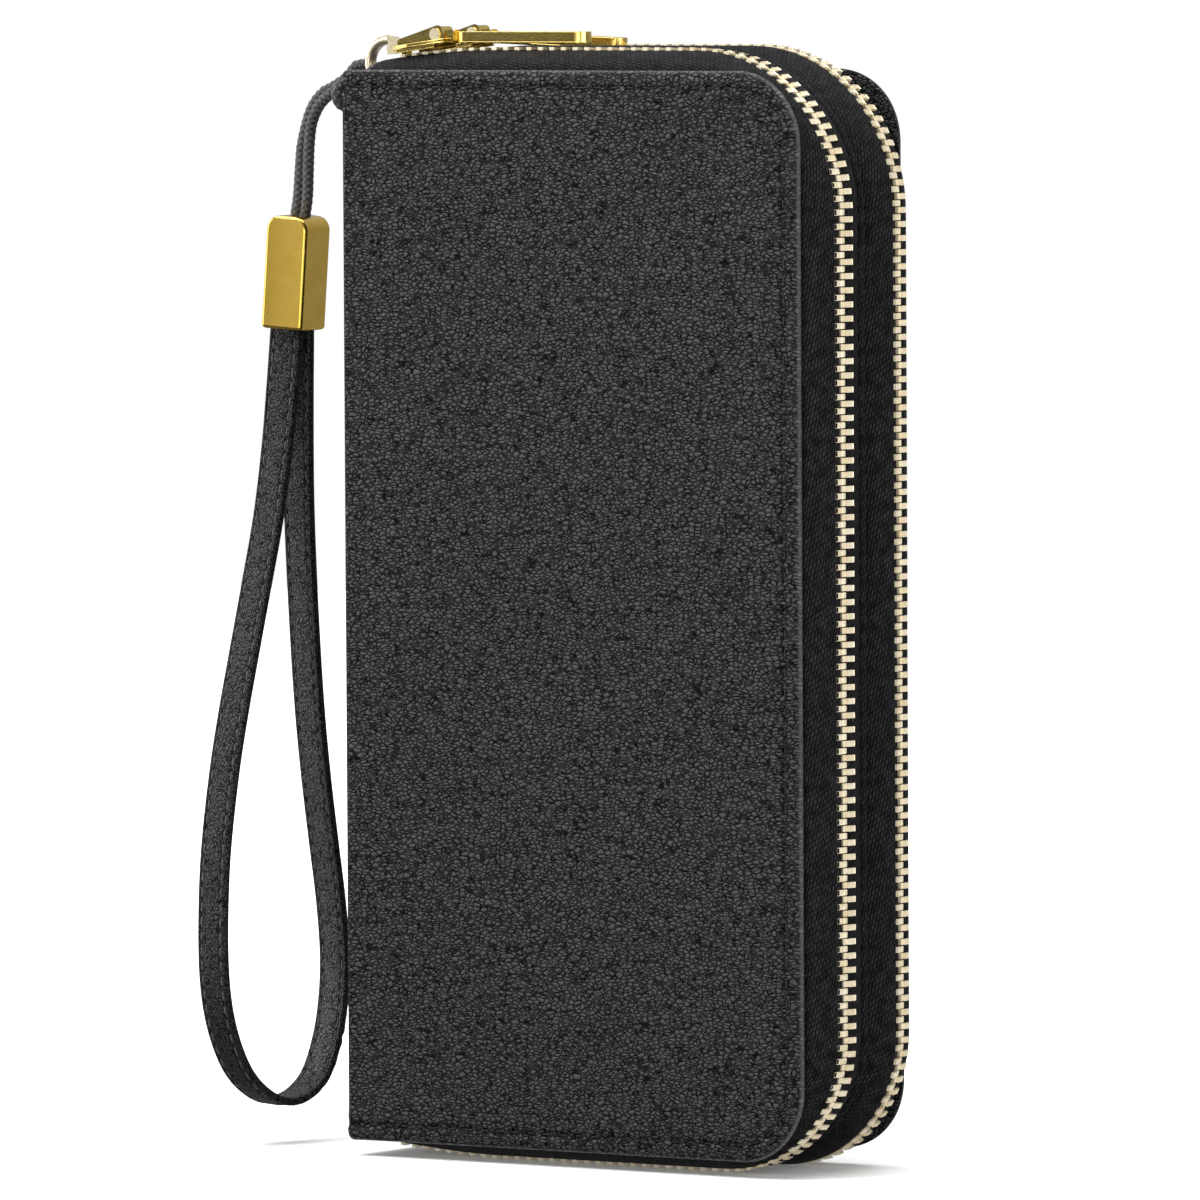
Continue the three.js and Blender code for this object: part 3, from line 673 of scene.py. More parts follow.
def edge_stations():
    """Places along the loop round the free edges: the low side, the right side and a corner."""
    low = np.linspace(0, SKIN_LENGTH - PANEL_RADIUS, 130)
    right = np.linspace(PANEL_LOW + PANEL_RADIUS, PANEL_HIGH - PANEL_RADIUS, 215)
    turn = np.linspace(0, math.pi / 2, 24)[1:-1]
    return low, right, turn


def edge_loop(d):
    """(u, z) of the loop at distance d inside the free edges."""
    low, right, turn = edge_stations()
    r = PANEL_RADIUS
    c = SKIN_LENGTH - r
    return np.vstack([
        np.stack([low, np.full_like(low, PANEL_LOW + d)], 1),
        np.stack([c + (r - d) * np.sin(turn), PANEL_LOW + r - (r - d) * np.cos(turn)], 1),
        np.stack([np.full_like(right, SKIN_LENGTH - d), right], 1),
        np.stack([c + (r - d) * np.cos(turn), PANEL_HIGH - r + (r - d) * np.sin(turn)], 1),
        np.stack([low[::-1], np.full_like(low, PANEL_HIGH - d)], 1),
    ])


STITCH_RUN = run_of(edge_loop(STITCH_IN))
UNDER_LOOPS = [(7.0, -1.45), (1.0, -1.45), (0.35, -1.4), (0.08, -1.3)]
OUTER_LOOPS = [
    0.0, 0.05, 0.15, 0.3, 0.5, 0.75, 1.0, 1.3, 1.7, 2.1, 2.45, 2.75,
    3.0, 3.2, 3.45, 3.75, 4.1, 4.6, 5.2, 6.0, 7.5, 9.5, 11.5,
]
UNDER_SHIFT = 400


def cover_points(side):
    """Points and UVs: loops under and round the free edges, then a grid over the middle."""
    points, uvs = [], []
    for d, out in UNDER_LOOPS:
        line = edge_loop(d)
        points.append(skin_point(line[:, 0], line[:, 1], np.full(len(line), out), side))
        uvs.append(line + [UNDER_SHIFT, 0])
    for d in OUTER_LOOPS:
        line = edge_loop(d)
        out = relief(np.full(len(line), d), STITCH_RUN)
        points.append(skin_point(line[:, 0], line[:, 1], out, side))
        uvs.append(line)
    low, right, _ = edge_stations()
    flat_u, flat_z = (g.ravel() for g in np.meshgrid(low, right, indexing="ij"))
    points.append(skin_point(flat_u, flat_z, np.zeros(len(flat_u)), side))
    uvs.append(np.stack([flat_u, flat_z], 1))
    return np.vstack(points), np.vstack(uvs)


def cover_faces(side):
    """Faces of the loops and the grid, and the strip that joins them."""
    low, right, turn = edge_stations()
    nl, nr, nt = len(low), len(right), len(turn)
    rows, width = len(UNDER_LOOPS) + len(OUTER_LOOPS), len(STITCH_RUN)
    start, last = rows * width, (rows - 1) * width
    faces = grid_faces(rows, width)
    faces += [face[::-1] for face in grid_faces(nl, nr, start)]
    ring = [start + i * nr for i in range(nl)]
    ring += [start + (nl - 1) * nr] * nt
    ring += [start + (nl - 1) * nr + j for j in range(nr)]
    ring += [start + nl * nr - 1] * nt
    ring += [start + i * nr + nr - 1 for i in reversed(range(nl))]
    for k in range(width - 1):
        quad = (last + k, last + k + 1, ring[k + 1], ring[k])
        faces.append(tuple(dict.fromkeys(quad)))
    return [f[::-1] for f in faces] if side > 0 else faces


def shade_cover(made, count):
    """Paints shade into the stitched groove between stitches, and paints a highlight on the very edge."""
    width = len(STITCH_RUN)
    shade, painted_edge_highlight = np.zeros(count), np.zeros(count)
    lift = np.clip((0.3 - 0.5 * np.cos(2 * math.pi * STITCH_RUN / STITCH)) / 0.35, 0, 1)
    for k, d in enumerate(OUTER_LOOPS):
        first = (k + len(UNDER_LOOPS)) * width
        # Painted shade in the stitched groove.
        shade[first:first + width] = 0.99 * lift * np.exp(-((d - STITCH_IN) / 0.48) ** 2)
        # Painted highlight along the rolled edge.
        painted_edge_highlight[first:first + width] = 0.4 * np.exp(-((d - 0.12) / 0.2) ** 2)
    point_values(made, "painted_shade", shade)
    point_values(made, "wear_and_painted_highlight", painted_edge_highlight)


def fold_with(made):
    """Bakes a piece's placement into its mesh, for a piece that lies across the fold between the spine and
    a cover.
    """
    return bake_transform(made)


def build_cover(name, side):
    """Half of the wrap: from the middle of the spine, round the fold and over one cover."""
    points, uvs = cover_points(side)
    made = mesh_object(name, points, cover_faces(side), LEATHER, uvs)
    shade_cover(made, len(points))
    return fold_with(made)


def capsule(a, b, up, radius, sag):
    """A thread from a to b that dips at both ends, as (points, faces, uv)."""
    rows, sides = 7, 6
    along = unit(b - a)
    across = unit(np.cross(along, up))
    lift = np.cross(across, along)
    length = np.linalg.norm(b - a)
    points, uv = [], []
    for i, t in enumerate(np.linspace(0, 1, rows)):
        swell = math.sqrt(max(1 - (2 * t - 1) ** 6, 0.05))
        centre = a + (b - a) * t - lift * sag * (2 * t - 1) ** 4
        for k in range(sides):
            w = 2 * math.pi * k / sides
            points.append(centre + (across * math.cos(w) + lift * math.sin(w)) * radius * swell)
            uv.append((t * length, k / sides))
    faces = grid_faces(rows, sides, close=True) + end_caps(rows, sides)
    return np.array(points), faces, np.array(uv)


def skin_spot(u, z, out, side):
    """One point of the wrap."""
    return skin_point(np.array([u]), np.array([z]), np.array([out]), side)[0]


def groove_spot(run, side):
    """A point just above the bottom of the stitched groove, and the way out from it."""
    line = edge_loop(STITCH_IN)
    u, z = (np.interp(run, STITCH_RUN, line[:, k]) for k in (0, 1))
    low = relief(STITCH_IN, STITCH / 2) + 0.06
    p = skin_spot(u, z, low, side)
    return p, unit(skin_spot(u, z, low + 1, side) - p)


def build_cover_stitches(name, side):
    """The running stitches round one cover and the two backtacks near its fold."""
    first = SPINE_HALF + ARC * 0.6
    end = STITCH_RUN[-1] - first
    pieces = []
    middle = np.arange(math.ceil(first / STITCH) + 0.5, end / STITCH) * STITCH
    for run in middle[middle + STITCH / 2 < end]:
        a, n = groove_spot(run - STITCH * 0.38, side)
        b, _ = groove_spot(run + STITCH * 0.38, side)
        pieces.append(capsule(a, b, n, 0.24, 0.3))
    tack = SPINE_HALF + ARC + 4.6
    for z0, z1 in ((PANEL_LOW + 2.4, PANEL_LOW + 5.9), (PANEL_HIGH - 2.4, PANEL_HIGH - 5.9)):
        for du in (0.0, 0.35):
            ends = [skin_spot(tack + du, z, 0.05, side) for z in (z0, z1)]
            pieces.append(capsule(*ends, np.array([0.0, side, 0.0]), 0.22, 0.3))
    points, faces, uv = join_pieces(pieces)
    made = mesh_object(name, points, faces, THREAD, uv)
    return fold_with(made)


# ---------------------------------------------------------------- divider edge
def build_divider_edge():
    half = [(9.7, -1.0), (6.0, -1.0), (4.0, -1.0), (2.9, -0.95), (2.3, -0.65)]
    line = half + [(2.05, 0.0)] + [(a, -y) for a, y in half[::-1]]
    profile, _ = smooth_line(line, 30)
    s = np.arange(5.5, CREST_LENGTH - 5.5, 1.2)
    points, uv = swept(profile, s)
    made = mesh_object("divider_binding", points, grid_faces(len(s), len(profile)), TAPE, uv)
    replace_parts(made, "divider_edge")
    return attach(made, "spine")


# ---------------------------------------------------------------- sliders and pulls
SLIDER_Z = CREST_TOP - 0.15
PIN = (3.75, 2.05)
BODY_LEAN = math.radians(-7.5)
PULL_DROOP = (0.0, math.radians(2.4))


def placed(index, build, droop=0.0):
    """build, which is in a slider's own millimetres, moved to it and turned round the pull's pin.

    Its x runs along the zip and its z goes up from the crest.
    """
    pin = Vector((PIN[0], 0.0, PIN[1]))
    turn = Matrix.Translation(pin) @ Matrix.Rotation(droop, 4, "Y") @ Matrix.Translation(-pin)
    place = Matrix.Translation((SLIDER_X[index], (-ZIP_Y, ZIP_Y)[index], SLIDER_Z))

    def run(bm):
        build(bm)
        bm.transform(place @ turn)
    return run


def slider_plates(bm):
    half = [(5.2, 3.8), (-1.2, 4.1), (-3.8, 3.6), (-5.6, 2.3), (-6.2, 1.2)]
    outline = [(6.2, -3.3), (6.2, 3.3)] + half + [(x, -y) for x, y in half[::-1]]
    prism(bm, outline, "z", 0.3, 1.0)
    prism(bm, outline, "z", -3.4, -2.7)
    prism(bm, [(-5.2, -0.5), (-5.2, 0.5), (-3.4, 0.5), (-3.4, -0.5)], "z", -2.7, 0.3)
    for side in (-1, 1):
        lip = [(-4.0, side * 3.3), (-4.0, side * 3.95), (4.4, side * 3.8), (4.4, side * 3.2)]
        for low in (-0.45, -2.7):
            prism(bm, lip[::side], "z", low, low + 0.75)


def slider_bridge(bm):
    outline = [
        (-4.7, 0.5), (-4.6, 1.75), (-4.2, 2.0), (4.3, 3.42),
        (4.75, 3.35), (5.05, 3.0), (5.7, 0.9), (5.65, 0.5),
    ]
    prism(bm, outline, "y", -1.95, 1.95)


def slider_boss(bm):
    for side in (-1, 1):
        prism(bm, disc(PIN, 0.98, 24), "y", *sorted((side * 1.9, side * 2.2)))


def slider_nose(bm):
    block = [(-7.1, 0.0), (-7.25, 0.9), (-6.7, 1.75), (-5.6, 2.05), (-4.5, 1.9), (-4.4, 0.4), (-5.2, -0.1)]
    prism(bm, block, "y", -1.7, 1.7)
    lip = [(-6.9, 1.5), (-7.0, 2.4), (-7.3, 3.05), (-6.7, 2.95), (-5.9, 2.3), (-5.0, 1.9), (-5.6, 1.6)]
    prism(bm, lip, "y", -1.45, 1.45)


def pull_link(bm):
    prism(bm, disc(PIN, 1.35, 28), "y", -0.72, 0.72)
    prism(bm, [(4.6, 1.4), (7.7, 1.0), (7.7, 2.3), (4.6, 2.7)], "y", -0.72, 0.72)
    wire = [(6.35, 0.75), (7.25, 0.75), (7.25, 2.7), (6.35, 2.7)]
    for side in (-1, 1):
        prism(bm, wire, "y", *sorted((side * 0.72, side * 1.55)))


PULL_FROM = 7.9
PULL_LENGTH = 28.5
PULL_HALF_WIDTH = 2.0


def pull_bar(bm):
    """A slim bar with round ends and a shallow recessed panel on each face."""
    r = PULL_HALF_WIDTH
    outline = []
    for x, start in ((PULL_FROM + r, math.pi / 2), (PULL_FROM + PULL_LENGTH - r, -math.pi / 2)):
        outline += [(x + r * math.cos(a), r * math.sin(a)) for a in start + np.linspace(0, math.pi, 17)]
    prism(bm, outline, "z", 0.6, 2.6)
    bm.faces.ensure_lookup_table()
    bm.normal_update()
    caps = [f for f in bm.faces if len(f.verts) > 8]
    bmesh.ops.inset_region(bm, faces=caps, thickness=0.5, depth=-0.22)


def build_slider(index):
    """One slider and its pull. Each row: piece, its maker, look, bevel, options, node it replaces."""
    word = f"zip{index + 1}"
    slider = (
        ("slider_plates", slider_plates, GOLD, 0.16, {}, "slider"),
        ("slider_bridge", slider_bridge, GOLD, 0.2, {}, None),
        ("slider_nose", slider_nose, PAINTED_HIGHLIGHT_GOLD, 0.3, {"segments": 4}, None),
        ("slider_rivet", slider_boss, PAINTED_HIGHLIGHT_GOLD, 0.14, {}, "pull_pin"),
    )
    pull = (
        ("link", pull_link, GOLD, 0.16, {}, "pull_link"),
        ("bar", pull_bar, GOLD, 0.14, {"angle": 40}, "pull_bar"),
    )
    for body, rows, turn in (("slider", slider, BODY_LEAN), ("pull", pull, PULL_DROOP[index])):
        for name, maker, look, bevel, options, node in rows:
            piece = bevelled(f"{word}_{name}", placed(index, maker, turn), look, bevel, **options)
            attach(piece, f"{word}_{body}")
            if node:
                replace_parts(piece, f"{word}_{node}")


# ---------------------------------------------------------------- ring, tab, cord, bead
RING = np.array([-53.8, 0.0, 200.0])
RING_OUT = 4.85
RING_RADIAL = 1.55
RING_AXIAL = 2.5
RING_ROUND = 0.74
RING_MEAN = RING_OUT - RING_RADIAL / 2
TAB_ANGLE = math.radians(-29)
HITCH_ANGLE = math.radians(238)


def ring_axes(angle):
    """The ring's outward direction and the wire's own direction at an angle."""
    cos, sin = math.cos(angle), math.sin(angle)
    return np.array([cos, 0.0, sin]), np.array([-sin, 0.0, cos])


def ring_point(angle, radius):
    return RING + radius * ring_axes(angle)[0]


def ring_section():
    """The flat band's cross-section with rounded corners, as (radial, axial) pairs."""
    a, half, r = RING_RADIAL / 2 - RING_ROUND, RING_AXIAL / 2 - RING_ROUND, RING_ROUND
    section = []
    for cx, cy, start in ((a, half, 0), (-a, half, 90), (-a, -half, 180), (a, -half, 270)):
        turns = np.radians(start + np.linspace(0, 90, 6))
        section += [(cx + r * math.cos(w), cy + r * math.sin(w)) for w in turns]
    return section


def build_ring():
    section = ring_section()
    turns, n = 96, len(section)
    points, uv = [], []
    for i in range(turns):
        w = 2 * math.pi * i / turns
        for k, (radial, axial) in enumerate(section):
            p = ring_point(w, RING_MEAN + radial)
            points.append((p[0], axial, p[2]))
            uv.append((w * RING_MEAN, k * 0.3))
    faces = grid_faces(turns, n, close=True)
    last = (turns - 1) * n
    faces += [(last + j, last + (j + 1) % n, (j + 1) % n, j) for j in range(n)]
    made = mesh_object("gold_ring", points, faces, PAINTED_HIGHLIGHT_GOLD, np.array(uv))
    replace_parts(made, "strap_ring")
    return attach(made, "ring")


def build_tab():
    """The strip folded over the ring's wire, its tails going down into the spine."""
    outward, wire = ring_axes(TAB_ANGLE)
    half = [(5.6, -1.1), (3.2, -1.75), (1.6, -2.1), (0.2, -2.15), (-1.0, -1.75), (-1.75, -0.8)]
    line = half + [(-1.9, 0.0)] + [(a, -y) for a, y in half[::-1]]
    profile = band(line, 0.8, 40)
    centre = ring_point(TAB_ANGLE, RING_MEAN)
    points, uv = [], []
    lanes = np.linspace(-1.5, 1.5, 9)
    for w in lanes:
        ease = 1 - 0.06 * (w / 1.5) ** 4
        for k, (r, y) in enumerate(profile):
            p = centre + outward * r + wire * w
            points.append((p[0], y * ease, p[2]))
            uv.append((k * 0.3, w))
    rows, n = len(lanes), len(profile)
    faces = grid_faces(rows, n, close=True) + end_caps(rows, n)
    made = mesh_object("ring_tab_leather", points, faces, STRAP_LEATHER, np.array(uv))
    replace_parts(made, "ring_tab")
    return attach(made, "spine")


BRAID_TURNS = 0.21
BRAID_SIDES = 28
BRAID_STEP = 0.16


def braid_height(w, s):
    """How high the braid's strands stand, 0 to 1, at the angles w round it and distance s along."""
    a = w * 4 / (2 * math.pi) + s * BRAID_TURNS * 4
    b = w * 4 / (2 * math.pi) - s * BRAID_TURNS * 4
    over = (np.floor(a) + np.floor(b)) % 2 == 0
    lead = np.where(over, a, b) % 1.0
    trail = np.where(over, b, a) % 1.0
    return np.sin(math.pi * lead) ** 0.7 * (0.45 + 0.55 * np.sin(math.pi * trail))


def braided(name, line, radius):
    """A braided cord along a line, with its middle line and length."""
    count = max(int(smooth_line(line, 10)[1] / BRAID_STEP), 20)
    mid, length = smooth_line(line, count)
    along = unit(np.gradient(mid, axis=0))
    side = unit(np.cross(along[0], [0.3, 1.0, 0.2]))
    w = 2 * math.pi * np.arange(BRAID_SIDES) / BRAID_SIDES
    points, uv, shade = [], [], []
    for i, (p, t) in enumerate(zip(mid, along)):
        side = unit(side - t * np.dot(side, t))
        s = i * length / (count - 1)
        h = braid_height(w, s)
        r = radius * (0.84 + 0.22 * h)
        points.append(p + np.outer(np.cos(w) * r, side) + np.outer(np.sin(w) * r, np.cross(t, side)))
        # Painted shade: darker where the braid's strands lie low.
        shade.append(np.clip(1.05 - 1.15 * h, 0, 1))
        uv.append(np.stack([np.full(BRAID_SIDES, s), w * radius], 1))
    faces = grid_faces(count, BRAID_SIDES, close=True) + end_caps(count, BRAID_SIDES)
    made = mesh_object(name, np.vstack(points), faces, CORD_LOOK, np.vstack(uv))
    point_values(made, "painted_shade", np.concatenate(shade))
    return made, mid, length


HITCH = [
    (4.6, -1.12, -2.3), (2.4, -1.12, -2.45), (0.2, -1.1, -2.5), (-1.4, -1.1, -2.0),
    (-2.2, -1.12, 0), (-1.4, -1.2, 2.0), (0.2, -1.6, 2.45), (1.8, -2.5, 1.9),
    (2.5, -3.1, 0), (2.6, -3.1, -2.6), (2.6, -2.4, -4.2), (2.6, 0, -4.7),
]
CORD = 2.1
CORD_OUTER = [
    (-58.2, 1.9, 199.0), (-59.6, 1.9, 199.6), (-61.1, 1.85, 199.5), (-62.5, 1.7, 199.1),
    (-63.7, 1.5, 197.6), (-64.8, 1.3, 196.7), (-65.8, 1.1, 196.1), (-67.2, 0.95, 195.3),
    (-69.0, 0.9, 194.5), (-70.8, 0.8, 192.8), (-72.0, 0.7, 190.8), (-72.9, 0.6, 188.2),
    (-73.8, 0.5, 184.6), (-74.15, 0.4, 180.9), (-74.5, 0.2, 175.3), (-75.0, -0.1, 171.2),
    (-75.1, -0.1, 168.5),
]
CORD_INNER = [
    (-60.1, -2.3, 195.8), (-61.6, -1.9, 195.9), (-62.9, -1.5, 195.6), (-64.2, -1.25, 195.1),
    (-65.6, -1.0, 194.5), (-67.2, -0.9, 193.6), (-68.9, -0.8, 192.1), (-70.1, -0.7, 190.3),
    (-71.0, -0.6, 188.1), (-71.5, -0.55, 184.6), (-71.8, -0.4, 180.9), (-72.2, -0.2, 175.3),
    (-72.9, -0.1, 171.2), (-73.0, -0.1, 168.5),
]
COLLAR = (-62.5, -1.2, 194.2)
COLLAR_LONG = 2.35
COLLAR_DEEP = 2.75


def collar_line():
    """The turn of the hitch that lies across both strands."""
    run = unit(np.array([-2.3, 0.3, -0.1]))
    long_way = unit(np.cross(run, [0.0, 1.0, 0.0]))
    turns = np.linspace(0, 2 * math.pi + 0.25, 22)
    deep = np.cross(long_way, run)
    high, wide = long_way * COLLAR_LONG, deep * COLLAR_DEEP
    return [np.array(COLLAR) + high * math.cos(w) + wide * math.sin(w) for w in turns]


def knot_line():
    """The hitch round the ring: its own half, then the same half mirrored."""
    centre = ring_point(HITCH_ANGLE, RING_MEAN)
    outward, along = ring_axes(HITCH_ANGLE)
    mirrored = [(r, -s, y) for r, s, y in HITCH[:-1][::-1]]
    return [centre + outward * r + along * s + np.array([0, y, 0]) for r, s, y in HITCH + mirrored]


def build_cords():
    """Each cord's piece, middle line, length and the point where it starts, by name."""
    made = {}
    for name, line, node in (
        ("cord_outer", CORD_OUTER, "strap_cord_outer"),
        ("cord_inner", CORD_INNER, "strap_cord_inner"),
        ("cord_knot", knot_line(), "cord_hitch"),
        ("cord_collar", collar_line(), "cord_hitch"),
    ):
        piece, path, length = braided(name, line, CORD / 2)
        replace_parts(piece, node)
        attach(piece, "strap")
        made[name] = (piece, path, length, line[0])
    return made


BEAD = np.array([-75.0, 0.0, 161.2])


def rounded_box_loop(half_x, half_y, radius, z, steps=6):
    """One level of a box with rounded corners, as points."""
    loop = []
    for k, (sx, sy) in enumerate(((1, 1), (-1, 1), (-1, -1), (1, -1))):
        for a in np.linspace(0, math.pi / 2, steps) + k * math.pi / 2:
            x = sx * (half_x - radius) + radius * math.cos(a)
            loop.append((x, sy * (half_y - radius) + radius * math.sin(a), z))
    return loop


BEAD_YAW = math.radians(5)
BEAD_LEAN = math.radians(4.2)
BEAD_HALF = (4.3, 4.55, 10.5)
BEAD_TOP_RADIUS = 2.7
BEAD_EDGE = 0.65


def bead_levels():
    """(half width, half depth, corner radius, height) of each level of the bead."""
    hx, hy, hz = BEAD_HALF
    levels = []
    for a in np.radians(np.linspace(90, 0, 13)):
        drop = BEAD_TOP_RADIUS * (1 - math.sin(a))
        inset = BEAD_TOP_RADIUS * (1 - math.cos(a))
        left = max(BEAD_EDGE - drop, 0.0)
        tuck = BEAD_EDGE - math.sqrt(BEAD_EDGE ** 2 - left ** 2)
        levels.append((hx - inset, hy - tuck, BEAD_EDGE, hz - drop))
    for a in np.radians(np.linspace(0, 90, 5)):
        inset = BEAD_EDGE * (1 - math.cos(a))
        levels.append((hx - inset, hy - inset, BEAD_EDGE, BEAD_EDGE * (1 - math.sin(a)) - hz))
    return levels + [(3.85, 2.75, 0.5, -hz), (3.75, 2.65, 0.5, 0.15 - hz), (3.75, 2.65, 0.5, 4.0 - hz)]


def build_bead():
    """A block with an arched top, lofted down from the top and up into its hollow base."""
    loops = [rounded_box_loop(*level) for level in bead_levels()]
    points = np.array([p for loop in loops for p in loop])
    rows, width = len(loops), len(loops[0])
    faces = grid_faces(rows, width, close=True) + end_caps(rows, width)
    turn = Matrix.Rotation(BEAD_LEAN, 4, "Y") @ Matrix.Rotation(BEAD_YAW, 4, "Z")
    points = np.array([(turn @ Vector(p))[:] for p in points]) + BEAD
    made = mesh_object("bead_shell", points, faces, DEEP_GOLD)
    made.data.set_sharp_from_angle(angle=math.radians(40))
    made.modifiers.new("flat_faces", "WEIGHTED_NORMAL").keep_sharp = True
    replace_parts(made, "strap_bead")
    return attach(made, "strap")


# ---------------------------------------------------------------- wrist strap
STRAP_WIDTH = 7.4
STRAP_THICK = 1.5
LOOP_PLANE = math.radians(12)
LOOP = [
    (-1.5, 154.0), (-1.6, 150.6), (-3.0, 138.3), (-4.4, 128), (-6.6, 116), (-9.6, 104),
    (-12.7, 92), (-15.6, 80.5), (-18.0, 69.5), (-20.2, 55.3), (-21.0, 42.5), (-20.8, 31.6),
    (-19.3, 23.2), (-16.2, 15.9), (-12.2, 11.2), (-6.6, 8.2), (-1.0, 8.4), (4.2, 12.0),
    (7.4, 18.8), (9.0, 26.3), (9.4, 34.3), (8.5, 44.3), (6.8, 55.3), (4.9, 68),
    (3.3, 82), (2.0, 100), (1.1, 119), (0.9, 138), (1.0, 150.6), (1.0, 154.0),
]
LOOP_X = BEAD[0] - 0.7
LANE = STRAP_WIDTH / 2 - 1.15
STRAP_STITCH = 2.7


def strap_frame(mid, along, width_turn):
    """Width and thickness directions of the band at each point of its middle line."""
    angle = LOOP_PLANE + width_turn
    wide = np.stack([np.cos(angle), -np.sin(angle), np.zeros_like(angle)], 1)
    wide = unit(wide - along * np.sum(wide * along, 1, keepdims=True))
    return wide, np.cross(along, wide)


def strap_line():
    """Distances, middle line, width and thickness directions, and length of the hanging loop."""
    flat, length = smooth_line(LOOP, 300)
    out, up = flat.T
    mid = np.stack([LOOP_X + out * math.sin(LOOP_PLANE), BEAD[1] + out * math.cos(LOOP_PLANE), up], 1)
    along = unit(np.gradient(mid, axis=0))
    s = np.linspace(0, length, len(mid))
    near = np.exp(-(np.minimum(s, length - s) / 26.0) ** 2)
    wide, thick = strap_frame(mid, along, math.radians(-9) * near)
    return s, mid, wide, thick, length


def strap_section():
    """The band's cross-section as (across, out) pairs, with a recessed lane for each seam."""
    half, t, r = STRAP_WIDTH / 2, STRAP_THICK / 2, 0.5
    across = np.linspace(-half + r, half - r, 27)
    dip = 0.34 * np.exp(-((np.abs(across) - LANE) / 0.3) ** 2)
    swell = 0.10 * np.exp(-(across / 1.6) ** 2)
    top = np.stack([across, t + swell - dip], 1)
    ends = np.radians(np.linspace(90, -90, 7)[1:-1])
    right = np.stack([half - r + r * np.cos(ends), t * np.sin(ends)], 1)
    under = (top * (1, -1))[::-1]
    left = -right
    return np.vstack([top, right, under, left])


def strap_points(s, mid, wide, thick, length, section):
    """The band's surface, creased on its inner side where the loop turns round."""
    bend = np.exp(-((s - length * 0.56) / 13.0) ** 2)
    phases = np.random.default_rng(11).uniform(0, 6.28, 5)
    across, out = section.T
    points = []
    for i in range(len(s)):
        angles = (s[i] * (1.7 + 0.6 * k) + across * (0.9 + 0.35 * k) + p for k, p in enumerate(phases))
        waves = sum(np.sin(angle) for angle in angles)
        ripple = np.where(out < 0, 0.05 * bend[i] * waves, 0.0)
        points.append(mid[i] + np.outer(across, wide[i]) - np.outer(out - ripple, thick[i]))
    return np.vstack(points)


def strap_shade(section):
    """Painted shade at each point of the cross-section: darker on its seams, its sides and its inner face.
    """
    across = np.abs(section[:, 0])
    lane = np.exp(-((across - LANE) / 0.34) ** 2) * 0.8
    side = np.where(across > STRAP_WIDTH / 2 - 0.3, 0.8, 0.0)
    inner = np.where(section[:, 1] < 0, 0.75, 0.0)
    return np.maximum(np.maximum(lane, side), inner)


def build_strap():
    """The strap's piece, its middle line and its length."""
    s, mid, wide, thick, length = strap_line()
    section = strap_section()
    rows, n = len(s), len(section)
    points = strap_points(s, mid, wide, thick, length, section)
    uv = np.stack([np.repeat(s, n), np.tile(run_of(section), rows)], 1)
    faces = grid_faces(rows, n, close=True) + end_caps(rows, n)
    made = mesh_object("strap_band", points, faces, STRAP_LEATHER, uv)
    # Painted shade on the strap's seam lanes, sides and inner face.
    point_values(made, "painted_shade", np.tile(strap_shade(section), rows))
    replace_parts(made, "wrist_strap")
    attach(made, "strap")
    return made, mid, length


def build_strap_stitches():
    s, mid, wide, thick, length = strap_line()

    def spot(run):
        """Middle, width and thickness directions at a distance along the strap."""
        return [np.array([np.interp(run, s, rows[:, c]) for c in range(3)]) for rows in (mid, wide, thick)]

    pieces = []
    for lane in (-LANE, LANE):
        for face in (1, -1):
            for middle in np.arange(6.0, length - 6.0, STRAP_STITCH):
                ends = []
                for run in (middle - 1.0, middle + 1.0):
                    centre, across, out = spot(run)
                    ends.append(centre + across * lane - out * face * (STRAP_THICK / 2 - 0.16))
                pieces.append(capsule(*ends, -out * face, 0.16, 0.16))
    points, faces, uv = join_pieces(pieces)
    stitches = mesh_object("strap_stitches", points, faces, PALE_THREAD, uv)
    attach(stitches, "strap")


# ---------------------------------------------------------------- build the wallet
def build_leather(side, word):
    """One half of the wrap with its stitches."""
    skin = build_cover(f"wrap_{word}", side)
    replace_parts(skin, f"cover_{word}")
    if side < 0:
        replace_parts(skin, "cover_spine")
    build_cover_stitches(f"wrap_stitches_{word}", side)


def build_zip(index, side, leaf):
    """One zip: two tapes, the meshed teeth behind the slider, the open rows and the slider."""
    word = f"zip{index + 1}"
    nose = crest_s(SLIDER_X[index] - 5.5)
    free = crest_s(SLIDER_X[index] + 7.2)
    end = CREST_LENGTH - 7.5
    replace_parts(build_tape(f"{word}_outer_tape", TAPE_OUTER, side, "spine", leaf), f"{word}_tape_outer")
    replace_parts(build_tape(f"{word}_inner_tape", TAPE_INNER[side], side, "spine"), f"{word}_tape_inner")
    for name, outer, start, stop, body, node in (
        ("parked_row", True, nose, free, "spine", "teeth_parked"),
        ("outer_row", True, free + 0.2, end, leaf, "teeth_outer"),
        ("inner_row", False, nose, end, "spine", "teeth_inner"),
    ):
        row = build_teeth(f"{word}_{name}", side, outer, start, stop, body)
        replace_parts(row, f"{word}_{node}")
    build_slider(index)


def inside_look(name):
    """The material of a CAD node that is shown as it is, or None for a node that is replaced."""
    if name.startswith(("lining", "divider_lining")):
        return LINING
    if "slot" in name or "pocket" in name:
        return INNER_LEATHER
    if name.startswith("board") or name == "divider_core":
        return BOARD
    return None


def dress_inside(node):
    look = inside_look(node.name)
    if look is None:
        return
    node.data.materials.clear()
    node.data.materials.append(look)
    if look is not BOARD:
        bevel = node.modifiers.new("soft_edges", "BEVEL")
        bevel.width = 0.12 * MM
        bevel.segments = 2
        bevel.limit_method = "ANGLE"


